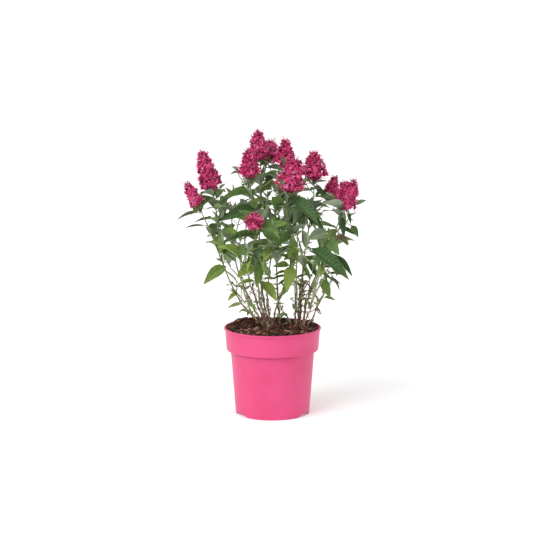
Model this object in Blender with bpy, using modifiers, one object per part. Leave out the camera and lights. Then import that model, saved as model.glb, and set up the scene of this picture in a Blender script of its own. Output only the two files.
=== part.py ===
"""Potted butterfly bush: a dwarf summer lilac in a banded pot, in metres, +Z up, front at -Y."""
import math
import random

import bmesh
import bpy
from mathutils import Vector
from mathutils.bvhtree import BVHTree

NAME = "potted_butterfly_bush"
GAP = 0.0003

# The pot: a turned shell with a wide band under its rim
POT_HEIGHT = 0.171
RIM_RADIUS = 0.095
LIP_HEIGHT = 0.004
LIP_ROUNDING = 0.001
BAND_RADIUS = 0.093
BAND_FOOT_RADIUS = 0.0903
BAND_HEIGHT = 0.0465
SHOULDER_DROP = 0.004
WALL_RADIUS = 0.0813
WALL_FOOT_RADIUS = 0.0716
FOOT_CORNER = 0.003
CORNER_BULGE = 0.3
WALL_THICKNESS = 0.0016
BASE_THICKNESS = 0.007
ARCH_HEIGHT = 0.0035
ARCH_REACH = 0.006
ARCH_SPAN = math.radians(28)
ARCH_SIDES = 16
ARCH_PLACES = [math.radians(a) for a in (-150, -30, 90)]

# The soil: level where the canes stand, rough towards the rim
SOIL_TOP = 0.1685
SOIL_LEVEL_RADIUS = 0.074
SOIL_ROUGHNESS = 0.0018
TURN_STEPS = 32

# The limbs: six-sided canes with a flared, level foot
CANE_ROUNDING = 1
CANE_POINTS = 9
FLARE = 1.55
FLARE_HEIGHT = 0.005

# Twigs: shoots that grow on from the canes, and short sprigs from the leaf axils
TWIG_RADIUS = 0.0015
TWIG_END_RADIUS = 0.001
FORK_SHARE = 0.85
TWIG_END_RADII = (TWIG_END_RADIUS, TWIG_END_RADIUS * FORK_SHARE)
SHOOT_STEPS = 6
SHOOT_UPTURN = 0.05
SPRIG_STEPS = 2
SPRIG_LENGTH = 0.045
SPRIG_LENGTHS = (0.7, 1.2)
SPRIG_EVERY = 0.055
SPRIG_PLACES = (0.3, 0.9)
SPRIG_SPREAD = (0.8, 1.3)
SPRIG_UPTURN = 0.5
SPRIG_SCALE = 0.62
SPRIG_OUTER = 0.25

# Leaves, in opposite pairs, each pair turned a quarter from the last
NODE_SPACING = 0.028
LEAF_LENGTH = 0.080
LEAF_SHARES = {"low": 0.32, "right_low": 0.45}
LEAF_END_SHARE = 0.58
LEAF_SIZES = (0.8, 1.12)
LEAF_SWING = 22.0
LEAF_RISE = (0.2, 0.8)
LEAF_DROOP = (0.05, 0.45)
LEAF_TRIES = 4
LEAF_WIDTH_SHARE = 0.36
LEAF_THICKNESS_SHARE = 0.013
LEAF_WIDEST = 0.45
LEAF_FOLD = 0.02
LEAF_STALK = 0.004
LEAF_STALK_WIDTH = 0.0026
LEAF_STALK_DEPTH = 0.0018
LEAF_SUNK = 0.0006
CLEARANCE = 0.0006
UPWARD_PULL = 0.8
STEEPEST = 0.97

# The crown's outline: it opens like a vase from its lowest leaves up to its full radius
CROWN_RADIUS = 0.184
CROWN_FOOT = 0.190
CROWN_FOOT_RADIUS = 0.090
CROWN_SLOPE = 0.65

# Flower heads: lumpy cones on the ends of the flowering shoots
HEAD_SIDES = 9
HEAD_RINGS = 7
HEAD_LUMPS = 0.10
HEAD_SHOULDER = 0.16
HEAD_NECK = 0.88
HEAD_TIP_SHARE = 0.58
HEAD_STEM_SHARE = 0.4

# The front view, for the leaves and the gaps that show best from there
VIEW_DISTANCE = 3.43
VIEW_HEIGHT = 0.862
VIEW_ASIDE = 0.0078
SIGHT_FALL = 0.172
SIGHT_PLACES = (0.3, 0.55, 0.8, 1.0)
LEAF_FLOOR = 0.268
FRONT_START = 6
FRONT_STEPS = 8
FRONT_DROOP = 0.15
FRONT_UPWARD = Vector((0.0, -0.8, 0.6))
FRONT_REACH = 0.0035
FRONT_SHIFTS = (0.0, -0.008, 0.008, -0.016, 0.016, -0.024)

FLAT_ANGLE = 0.002
TOUCH = 0.0001
SOIL_SEED = 7
CROWN_SEED = 100

POT_PINK = (0.86, 0.09, 0.27)
SOIL_BROWN = (0.075, 0.035, 0.025)
CANE_BROWN = (0.16, 0.085, 0.05)
LEAF_GREEN = (0.10, 0.22, 0.06)
PETAL_PINK = (0.62, 0.045, 0.17)
POT_ROUGHNESS = 0.42
COMPOST_ROUGHNESS = 0.95
BARK_ROUGHNESS = 0.8
LEAF_ROUGHNESS = 0.6
PETAL_ROUGHNESS = 0.7

# Each cane: its foot on the soil, the point it bends towards, its tip, and the radius at its foot
CANES = {
    "left": ((-0.0165, 0.001), (-0.054, -0.002, 0.198), (-0.083, -0.005, 0.262), 0.0021),
    "left_inner": ((-0.018, 0.013), (-0.040, 0.012, 0.205), (-0.062, 0.016, 0.262), 0.0018),
    "left_front": ((-0.016, -0.010), (-0.044, -0.028, 0.197), (-0.054, -0.038, 0.243), 0.0017),
    "middle_left": ((-0.008, 0.000), (-0.031, -0.002, 0.225), (-0.029, -0.006, 0.272), 0.0029),
    "middle": ((-0.003, 0.010), (-0.013, 0.009, 0.210), (-0.009, 0.002, 0.250), 0.0021),
    "middle_back": ((-0.007, 0.022), (-0.026, 0.030, 0.235), (-0.026, 0.036, 0.305), 0.0021),
    "middle_right": ((-0.002, -0.008), (0.010, -0.009, 0.225), (0.029, -0.014, 0.270), 0.0019),
    "low": ((0.036, -0.002), (0.034, -0.003, 0.182), (0.030, -0.005, 0.190), 0.0014),
    "right_front": ((0.046, -0.004), (0.046, -0.008, 0.215), (0.046, -0.020, 0.262), 0.0022),
    "right_middle": ((0.053, 0.008), (0.057, 0.008, 0.230), (0.059, 0.006, 0.275), 0.0027),
    "right": ((0.061, 0.000), (0.061, -0.002, 0.222), (0.090, -0.006, 0.284), 0.0022),
    "right_low": ((0.070, 0.009), (0.082, 0.010, 0.192), (0.094, 0.006, 0.224), 0.0013),
    "front_right": ((0.057, -0.013), (0.075, -0.040, 0.205), (0.082, -0.056, 0.262), 0.0016),
    "back_left": ((-0.016, 0.034), (-0.036, 0.060, 0.215), (-0.050, 0.076, 0.265), 0.0019),
    "back": ((0.014, 0.026), (0.010, 0.060, 0.215), (0.008, 0.084, 0.270), 0.0021),
    "back_right": ((0.0505, 0.022), (0.051, 0.050, 0.215), (0.060, 0.078, 0.265), 0.0021),
}

# Each mass grows on from its cane. A shoot leaves the first one at that share of its length, and
# has its end, the tip of its flower head (or none), the head's width and the turn of its leaf pairs.
MASSES = {
    "left": [
        (0.0, (-0.116, -0.020, 0.443), (-0.137, -0.020, 0.521), 0.045, 0),
        (0.14, (-0.142, -0.036, 0.414), (-0.164, -0.050, 0.461), 0.035, 40),
        (0.50, (-0.092, 0.030, 0.405), None, 0, 20),
        (0.30, (-0.118, 0.040, 0.350), None, 0, 70),
    ],
    "left_inner": [
        (0.0, (-0.082, 0.045, 0.400), None, 0, 30),
        (0.3, (-0.085, 0.078, 0.350), None, 0, 0),
        (0.45, (-0.058, 0.040, 0.410), None, 0, 60),
    ],
    "left_front": [
        (0.0, (-0.062, -0.070, 0.350), None, 0, 10),
        (0.25, (-0.084, -0.078, 0.310), None, 0, 50),
        (0.5, (-0.045, -0.094, 0.338), None, 0, 80),
    ],
    "middle_left": [
        (0.0, (-0.043, -0.048, 0.472), (-0.046, -0.050, 0.522), 0.042, 35),
        (0.82, (-0.067, -0.040, 0.482), None, 0, 0),
        (0.35, (-0.031, -0.124, 0.394), (-0.040, -0.154, 0.404), 0.035, 20),
    ],
    "middle": [
        (0.0, (0.006, -0.036, 0.400), None, 0, 60),
        (0.35, (0.000, -0.086, 0.345), None, 0, 0),
        (0.5, (-0.010, 0.000, 0.430), None, 0, 30),
    ],
    "middle_back": [
        (0.0, (-0.024, 0.030, 0.497), (-0.030, 0.030, 0.556), 0.037, 0),
        (0.70, (-0.010, 0.064, 0.490), (-0.001, 0.080, 0.530), 0.038, 45),
        (0.45, (-0.052, 0.070, 0.430), None, 0, 20),
    ],
    "middle_right": [
        (0.0, (0.031, -0.078, 0.450), (0.046, -0.082, 0.509), 0.055, 30),
        (0.35, (0.023, 0.004, 0.486), (0.026, 0.004, 0.541), 0.042, 0),
        (0.7, (0.010, -0.055, 0.450), None, 0, 60),
    ],
    "low": [
        (0.0, (0.016, -0.010, 0.212), None, 0, 15),
    ],
    "right_front": [
        (0.0, (0.048, -0.060, 0.365), None, 0, 10),
        (0.4, (0.066, -0.105, 0.350), None, 0, 50),
    ],
    "right_middle": [
        (0.0, (0.081, 0.020, 0.460), (0.080, 0.020, 0.515), 0.053, 25),
        (0.60, (0.114, 0.042, 0.422), (0.122, 0.048, 0.460), 0.036, 60),
        (0.45, (0.055, -0.030, 0.420), None, 0, 0),
    ],
    "right": [
        (0.0, (0.138, -0.020, 0.408), (0.158, -0.024, 0.461), 0.043, 55),
        (0.92, (0.135, -0.021, 0.413), (0.139, -0.026, 0.460), 0.036, 20),
        (0.30, (0.128, 0.038, 0.338), None, 0, 20),
        (0.55, (0.150, 0.022, 0.385), None, 0, 0),
    ],
    "right_low": [
        (0.0, (0.116, 0.010, 0.262), None, 0, 45),
    ],
    "front_right": [
        (0.0, (0.094, -0.080, 0.355), None, 0, 40),
        (0.30, (0.118, -0.068, 0.320), None, 0, 0),
    ],
    "back_left": [
        (0.0, (-0.045, 0.105, 0.455), (-0.048, 0.115, 0.508), 0.038, 20),
        (0.35, (-0.090, 0.110, 0.335), None, 0, 60),
        (0.55, (-0.045, 0.100, 0.390), None, 0, 0),
    ],
    "back": [
        (0.0, (0.006, 0.136, 0.322), (0.004, 0.163, 0.352), 0.034, 50),
        (0.45, (0.014, 0.085, 0.410), None, 0, 20),
    ],
    "back_right": [
        (0.0, (0.033, 0.105, 0.433), (0.041, 0.118, 0.484), 0.040, 35),
        (0.35, (0.100, 0.100, 0.340), None, 0, 0),
        (0.55, (0.075, 0.080, 0.405), None, 0, 70),
    ],
}

# Leaves that show best from the front: each one's mass, root, tip and width
FRONT_LEAVES = [
    ("left", (-0.090, -0.010, 0.292), (-0.130, -0.045, 0.266), 0.024),
    ("left", (-0.095, -0.015, 0.327), (-0.072, -0.045, 0.310), 0.021),
    ("left", (-0.103, -0.015, 0.355), (-0.103, -0.035, 0.326), 0.019),
    ("left", (-0.120, -0.022, 0.430), (-0.150, -0.052, 0.409), 0.020),
    ("left", (-0.139, -0.035, 0.402), (-0.183, -0.040, 0.389), 0.007),
    ("left", (-0.109, -0.020, 0.426), (-0.090, -0.035, 0.450), 0.012),
    ("left_front", (-0.067, -0.068, 0.333), (-0.046, -0.088, 0.328), 0.016),
    ("middle_left", (-0.020, -0.007, 0.262), (0.006, -0.037, 0.231), 0.021),
    ("middle_left", (-0.029, -0.012, 0.300), (-0.066, -0.042, 0.279), 0.025),
    ("middle_left", (-0.022, -0.014, 0.303), (-0.030, -0.040, 0.262), 0.019),
    ("middle_left", (-0.020, -0.021, 0.342), (0.016, -0.041, 0.329), 0.022),
    ("middle_left", (-0.023, -0.021, 0.340), (-0.046, -0.046, 0.315), 0.015),
    ("middle_left", (-0.030, -0.039, 0.357), (-0.092, -0.084, 0.352), 0.015),
    ("middle_left", (-0.030, -0.040, 0.407), (-0.097, -0.080, 0.394), 0.025),
    ("middle_left", (-0.042, -0.046, 0.440), (-0.095, -0.076, 0.436), 0.016),
    ("middle", (-0.005, -0.075, 0.352), (0.003, -0.100, 0.409), 0.032),
    ("middle_right", (0.015, -0.065, 0.410), (-0.003, -0.095, 0.443), 0.027),
    ("middle_right", (0.034, -0.078, 0.437), (0.083, -0.118, 0.394), 0.026),
    ("middle_right", (0.032, -0.060, 0.442), (0.011, -0.075, 0.446), 0.018),
    ("middle_right", (0.033, -0.025, 0.297), (0.000, -0.045, 0.298), 0.013),
    ("right_middle", (0.043, -0.026, 0.407), (0.032, -0.051, 0.378), 0.023),
    ("right_middle", (0.096, 0.017, 0.426), (0.130, 0.002, 0.412), 0.017),
    ("right_middle", (0.104, 0.030, 0.423), (0.086, 0.012, 0.441), 0.014),
    ("right_front", (0.038, -0.034, 0.298), (0.028, -0.064, 0.259), 0.024),
    ("right_front", (0.038, -0.037, 0.304), (0.041, -0.062, 0.364), 0.023),
    ("right_front", (0.036, -0.061, 0.364), (0.005, -0.091, 0.348), 0.022),
    ("right_front", (0.073, -0.103, 0.342), (0.138, -0.148, 0.297), 0.025),
    ("front_right", (0.103, -0.082, 0.367), (0.066, -0.117, 0.360), 0.025),
    ("front_right", (0.102, -0.082, 0.355), (0.124, -0.112, 0.335), 0.022),
    ("front_right", (0.119, -0.070, 0.325), (0.149, -0.090, 0.289), 0.012),
    ("right", (0.094, -0.007, 0.267), (0.110, -0.037, 0.238), 0.019),
    ("right", (0.132, -0.020, 0.394), (0.137, -0.035, 0.357), 0.012),
    ("right", (0.153, 0.009, 0.370), (0.165, -0.006, 0.351), 0.013),
    ("right", (0.161, -0.020, 0.414), (0.182, -0.024, 0.425), 0.009),
]

# Gaps in the crown that show sky from the front: their middle (x, z), half width and half height
CLEARINGS = [
    # beside and below the crown
    (-0.180, 0.370, 0.020, 0.025), (-0.165, 0.335, 0.030, 0.022), (-0.135, 0.313, 0.034, 0.024),
    (-0.130, 0.244, 0.050, 0.040), (-0.045, 0.240, 0.026, 0.036), (0.022, 0.232, 0.027, 0.032),
    (0.155, 0.240, 0.044, 0.034), (0.170, 0.311, 0.031, 0.022), (0.182, 0.358, 0.014, 0.024),
    (-0.080, 0.460, 0.020, 0.016), (0.160, 0.386, 0.014, 0.009), (0.136, 0.318, 0.009, 0.018),
    # in its left half
    (-0.135, 0.395, 0.019, 0.006), (-0.137, 0.374, 0.015, 0.005), (-0.124, 0.352, 0.010, 0.006),
    (-0.112, 0.306, 0.012, 0.020), (-0.088, 0.376, 0.009, 0.006), (-0.079, 0.282, 0.012, 0.012),
    (-0.073, 0.335, 0.021, 0.007), (-0.071, 0.422, 0.021, 0.008), (-0.060, 0.302, 0.014, 0.010),
    (-0.057, 0.368, 0.013, 0.011), (-0.051, 0.333, 0.010, 0.006), (-0.016, 0.352, 0.007, 0.009),
    (-0.005, 0.430, 0.015, 0.008),
    # in its right half
    (0.003, 0.396, 0.012, 0.003), (0.011, 0.288, 0.016, 0.020), (0.022, 0.393, 0.008, 0.008),
    (0.051, 0.354, 0.008, 0.010), (0.060, 0.315, 0.018, 0.008), (0.061, 0.278, 0.018, 0.016),
    (0.069, 0.429, 0.008, 0.006), (0.070, 0.364, 0.010, 0.012), (0.080, 0.335, 0.010, 0.010),
    (0.114, 0.382, 0.011, 0.012), (0.147, 0.384, 0.008, 0.014),
]


def clear_scene():
    for old in list(bpy.data.objects):
        bpy.data.objects.remove(old, do_unlink=True)


def new_collection(name):
    collection = bpy.data.collections.new(name)
    bpy.context.scene.collection.children.link(collection)
    return collection


def material(name, colour, roughness):
    mat = bpy.data.materials.new(name)
    mat.use_nodes = True
    shader = mat.node_tree.nodes["Principled BSDF"]
    shader.inputs["Base Color"].default_value = (*colour, 1.0)
    shader.inputs["Roughness"].default_value = roughness
    mat.diffuse_color = (*colour, 1.0)
    return mat


def object_from_bmesh(name, bm, collection, *materials):
    bmesh.ops.recalc_face_normals(bm, faces=bm.faces)
    mesh = bpy.data.meshes.new(name)
    bm.to_mesh(mesh)
    bm.free()
    for mat in materials:
        mesh.materials.append(mat)
    obj = bpy.data.objects.new(name, mesh)
    collection.objects.link(obj)
    return obj


def cut(obj, cutter):
    cutter.hide_render = True
    cutter.display_type = "WIRE"
    modifier = obj.modifiers.new("cut " + cutter.name, "BOOLEAN")
    modifier.operation = "DIFFERENCE"
    modifier.object = cutter


def turned(name, profile, collection, mat):
    """A profile of (radius, height) points turned about the upright axis."""
    bm = bmesh.new()
    verts = [bm.verts.new((radius, 0.0, height)) for radius, height in profile]
    for a, b in zip(verts, verts[1:]):
        bm.edges.new((a, b))
    mesh = bpy.data.meshes.new(name)
    bm.to_mesh(mesh)
    bm.free()
    mesh.materials.append(mat)
    obj = bpy.data.objects.new(name, mesh)
    collection.objects.link(obj)
    screw = obj.modifiers.new("turn", "SCREW")
    screw.steps = TURN_STEPS
    screw.render_steps = TURN_STEPS
    screw.use_merge_vertices = True
    screw.merge_threshold = 0.00001
    screw.use_smooth_shade = True
    return obj


def wall_radius(height):
    """Outer radius of the wall below the band."""
    top = POT_HEIGHT - BAND_HEIGHT - SHOULDER_DROP
    return WALL_FOOT_RADIUS + (WALL_RADIUS - WALL_FOOT_RADIUS) * height / top


def inner_radius(height):
    """Inner radius of the pot, which follows its outside a wall's thickness in."""
    band_foot = POT_HEIGHT - BAND_HEIGHT
    shoulder = band_foot - SHOULDER_DROP
    if height <= shoulder:
        return wall_radius(height) - WALL_THICKNESS
    if height < band_foot:
        share = (height - shoulder) / SHOULDER_DROP
        return WALL_RADIUS - WALL_THICKNESS + share * (BAND_FOOT_RADIUS - WALL_RADIUS)
    share = (height - band_foot) / BAND_HEIGHT
    return BAND_FOOT_RADIUS - WALL_THICKNESS + share * (BAND_RADIUS - BAND_FOOT_RADIUS)


def make_pot(parts, cutters):
    """A thin turned shell with three shallow arches cut into the edge of its foot."""
    pink = material("pink plastic", POT_PINK, POT_ROUGHNESS)
    band_foot = POT_HEIGHT - BAND_HEIGHT
    shoulder = band_foot - SHOULDER_DROP
    lip_foot = POT_HEIGHT - LIP_HEIGHT
    above_arches = ARCH_HEIGHT + FOOT_CORNER
    outer = [
        (RIM_RADIUS - LIP_ROUNDING / 2, POT_HEIGHT),
        (RIM_RADIUS, POT_HEIGHT - LIP_ROUNDING),
        (RIM_RADIUS, lip_foot),
        (BAND_RADIUS, lip_foot - LIP_ROUNDING),
        (BAND_FOOT_RADIUS, band_foot),
        (WALL_RADIUS, shoulder),
        (wall_radius(above_arches), above_arches),
        (wall_radius(FOOT_CORNER), FOOT_CORNER),
        (WALL_FOOT_RADIUS - FOOT_CORNER * CORNER_BULGE, FOOT_CORNER * CORNER_BULGE),
        (WALL_FOOT_RADIUS - FOOT_CORNER, 0.0),
        (0.0, 0.0),
    ]
    inner_heights = (BASE_THICKNESS, shoulder, band_foot, lip_foot)
    inner = [(0.0, BASE_THICKNESS)]
    inner += [(inner_radius(height), height) for height in inner_heights]
    inner += [(inner_radius(POT_HEIGHT), POT_HEIGHT)]
    pot = turned("pot", outer + inner + outer[:1], parts, pink)
    for number, place in enumerate(ARCH_PLACES):
        bpy.ops.mesh.primitive_cylinder_add(
            vertices=ARCH_SIDES, radius=1.0, depth=2 * ARCH_REACH,
            location=(WALL_FOOT_RADIUS * math.cos(place), WALL_FOOT_RADIUS * math.sin(place), 0.0),
            rotation=(0.0, math.pi / 2, place))
        arch = bpy.context.active_object
        arch.name = f"foot_arch_{number}"
        arch.scale = (ARCH_HEIGHT, WALL_FOOT_RADIUS * math.sin(ARCH_SPAN / 2), 1.0)
        for owner in list(arch.users_collection):
            owner.objects.unlink(arch)
        cutters.objects.link(arch)
        cut(pot, arch)


def make_soil(parts):
    """The filling of the pot, with a rough ring of bark round the level middle."""
    rng = random.Random(SOIL_SEED)
    brown = material("bark compost", SOIL_BROWN, COMPOST_ROUGHNESS)
    band_foot = POT_HEIGHT - BAND_HEIGHT
    shoulder = band_foot - SHOULDER_DROP
    bm = bmesh.new()
    edge = inner_radius(SOIL_TOP) - GAP
    rings = [
        (inner_radius(BASE_THICKNESS) - GAP, BASE_THICKNESS + GAP, 0.0),
        (inner_radius(shoulder) - 2 * GAP, shoulder, 0.0),
        (inner_radius(band_foot) - GAP, band_foot, 0.0),
        (edge, SOIL_TOP, SOIL_ROUGHNESS),
        ((SOIL_LEVEL_RADIUS + edge) / 2, SOIL_TOP, SOIL_ROUGHNESS),
        (SOIL_LEVEL_RADIUS, SOIL_TOP, 0.0),
    ]
    loops = []
    for radius, height, rough in rings:
        made = bmesh.ops.create_circle(bm, segments=TURN_STEPS, radius=radius)
        for vert in made["verts"]:
            vert.co.z = height + rough * rng.uniform(-1.0, 1.0)
        loops.append(list({edge for vert in made["verts"] for edge in vert.link_edges}))
    for lower, upper in zip(loops, loops[1:]):
        bmesh.ops.bridge_loops(bm, edges=lower + upper)
    bmesh.ops.holes_fill(bm, edges=[edge for edge in bm.edges if edge.is_boundary], sides=0)
    object_from_bmesh("soil", bm, parts, brown)


def curve_between(start, lean, end, arrival, steps):
    """Points on a smooth curve that leaves along one direction and arrives along another."""
    reach = (end - start).length / 3
    a, b = start + lean.normalized() * reach, end - arrival.normalized() * reach
    points = []
    for step in range(steps + 1):
        t = step / steps
        s = 1 - t
        points.append(start * s ** 3 + a * 3 * s * s * t + b * 3 * s * t * t + end * t ** 3)
    return points


def cane_path(foot, bend, tip):
    """From a short upright foot, round the bend to the tip."""
    start = Vector((foot[0], foot[1], SOIL_TOP + GAP))
    rise = start + Vector((0.0, 0.0, FLARE_HEIGHT))
    bend, tip = Vector(bend), Vector(tip)
    points = [start]
    for step in range(CANE_POINTS - 1):
        t = step / (CANE_POINTS - 2)
        points.append(rise * (1 - t) ** 2 + bend * 2 * t * (1 - t) + tip * t * t)
    return points


def make_cane(name, points, radius, parts, mat):
    """A tapering tube along the path, with a flat flared foot."""
    curve = bpy.data.curves.new(name, "CURVE")
    curve.dimensions = "3D"
    curve.bevel_depth = radius
    curve.bevel_resolution = CANE_ROUNDING
    curve.use_fill_caps = True
    spline = curve.splines.new("POLY")
    spline.points.add(len(points) - 1)
    end_share = min(TWIG_RADIUS / radius, 1.0)
    for number, (place, point) in enumerate(zip(points, spline.points)):
        share = number / (len(points) - 1)
        point.co = (*place, 1.0)
        point.radius = FLARE if number == 0 else 1.0 + (end_share - 1.0) * share
    curve.materials.append(mat)
    cane = bpy.data.objects.new(name, curve)
    parts.objects.link(cane)
    return cane


def loft(sections):
    """A closed mesh through sections of three points, or of one point where it ends sharp."""
    bm = bmesh.new()
    rings = [[bm.verts.new(point) for point in section] for section in sections]
    for ring in (rings[0], rings[-1]):
        if len(ring) == 3:
            bm.faces.new(ring)
    for lower, upper in zip(rings, rings[1:]):
        for n in range(3):
            corners = [lower[n % len(lower)], lower[(n + 1) % len(lower)]]
            corners += [upper[(n + 1) % len(upper)], upper[n % len(upper)]]
            bm.faces.new(list(dict.fromkeys(corners)))
    bmesh.ops.triangulate(bm, faces=bm.faces)
    bmesh.ops.recalc_face_normals(bm, faces=bm.faces)
    return bm


def length_of(points):
    return sum((b - a).length for a, b in zip(points, points[1:]))


def point_along(points, share):
    """The place and the heading at that share of a path."""
    place = min(share, 0.999) * (len(points) - 1)
    step = int(place)
    ahead = points[step + 1] - points[step]
    return points[step] + ahead * (place - step), ahead.normalized()


def across(direction):
    """Two directions square to the given one."""
    aside = direction.orthogonal().normalized()
    return aside, direction.cross(aside).normalized()


def twig_sections(points, first_radius, last_radius):
    """Three-sided sections along a tapering twig."""
    sections = []
    one, _ = across((points[1] - points[0]).normalized())
    corners = [2 * math.pi * n / 3 for n in range(3)]
    for number, point in enumerate(points):
        ahead = (points[min(number + 1, len(points) - 1)] - points[max(number - 1, 0)]).normalized()
        one = (one - ahead * one.dot(ahead)).normalized()
        two = ahead.cross(one)
        radius = first_radius + (last_radius - first_radius) * number / (len(points) - 1)
        sections.append([point + (one * math.cos(a) + two * math.sin(a)) * radius for a in corners])
    return sections


def in_crown(point):
    reach = CROWN_FOOT_RADIUS + CROWN_SLOPE * (point.z - CROWN_FOOT)
    return math.hypot(point.x, point.y) < min(reach, CROWN_RADIUS)


def seen_place(point):
    """Where the point shows, from the front, on the upright plane of the canes."""
    share = VIEW_DISTANCE / (VIEW_DISTANCE + point.y)
    x = VIEW_ASIDE + (point.x - VIEW_ASIDE) * share
    return x, VIEW_HEIGHT + (point.z - VIEW_HEIGHT) * share


def hides_gap(points, lowest):
    """Whether any of the points shows below the lowest leaves or in a gap."""
    for point in points:
        x, z = seen_place(point)
        if z < lowest or any(((x - a) / w) ** 2 + ((z - b) / h) ** 2 < 1 for a, b, w, h in CLEARINGS):
            return True
    return False


def leaf_sections(root, heading, upward, length, droop, width, spare=0.0):
    """A lance-shaped blade on a short stalk, keeled under its midrib and bowed towards its tip."""
    aside = heading.cross(upward).normalized()
    face = aside.cross(heading).normalized()
    down = Vector((0.0, 0.0, -1.0))
    rings = (
        (LEAF_STALK, LEAF_STALK_WIDTH, LEAF_STALK_DEPTH, 0.0),
        (length * LEAF_WIDEST, width, length * LEAF_THICKNESS_SHARE, LEAF_FOLD),
    )
    sections = [[root - heading * (LEAF_SUNK + spare)]]
    for reach, width, depth, fold in rings:
        middle = root + heading * reach + down * droop * reach ** 2 / length
        edge = middle + face * (spare + length * fold)
        half = aside * (width / 2 + spare)
        sections.append([edge + half, edge - half, middle - face * (depth + spare)])
    sections.append([root + heading * (length + spare) + down * length * droop])
    return sections


def head_swell(share):
    """The radius of a flower head along its length, as a share of its widest."""
    if share < HEAD_SHOULDER:
        return math.sqrt(share / HEAD_SHOULDER)
    if share < HEAD_NECK:
        return 1 - (1 - HEAD_TIP_SHARE) * (share - HEAD_SHOULDER) / (HEAD_NECK - HEAD_SHOULDER)
    return HEAD_TIP_SHARE * math.sqrt(max(0.0, (1 - share) / (1 - HEAD_NECK)))


def head_mesh(base, tip, width, rng):
    """A cone of packed florets, widest near its foot, blunt at its tip and lumpy all over."""
    axis = tip - base
    one, two = across(axis.normalized())
    bm = bmesh.new()
    bmesh.ops.create_uvsphere(bm, u_segments=HEAD_SIDES, v_segments=HEAD_RINGS, radius=1.0)
    for vert in bm.verts:
        share = 1 - math.acos(max(-1.0, min(1.0, vert.co.z))) / math.pi
        turn = math.atan2(vert.co.y, vert.co.x)
        radius = width / 2 * head_swell(share) * (1 + HEAD_LUMPS * rng.uniform(-1.0, 1.0))
        around = one * math.cos(turn) + two * math.sin(turn)
        vert.co = base + axis * share + around * radius
    bmesh.ops.triangulate(bm, faces=bm.faces)
    bmesh.ops.recalc_face_normals(bm, faces=bm.faces)
    return bm


class Space:
    """What stands in the crown so far, node by node, for a new piece to keep clear of."""

    def __init__(self):
        self.solids = []
        self.lines = []

    def add(self, node, bm):
        tree = BVHTree.FromBMesh(bm)
        low, high = bounds_of(vert.co for vert in bm.verts)
        self.solids.append((node, tree, low, high))

    def add_line(self, node, points):
        self.lines += [(node, point) for point in points]

    def is_free(self, node, whole, blade=None):
        """Whether the whole piece clears the other nodes, and its outer part its own node too."""
        whole_tree = BVHTree.FromBMesh(whole)
        blade_tree = BVHTree.FromBMesh(blade) if blade else None
        low, high = bounds_of(vert.co for vert in whole.verts)
        for other, other_tree, other_low, other_high in self.solids:
            tree = blade_tree if other == node else whole_tree
            if tree is None or any(low[n] > other_high[n] or other_low[n] > high[n] for n in range(3)):
                continue
            if tree.overlap(other_tree):
                return False
        return True

    def owner(self, point):
        """The mass whose shoots pass nearest to the point."""
        return min(self.lines, key=lambda line: (line[1] - point).length_squared)[0]


def bounds_of(points):
    points = list(points)
    low = [min(point[n] for point in points) for n in range(3)]
    high = [max(point[n] for point in points) for n in range(3)]
    return low, high


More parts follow.
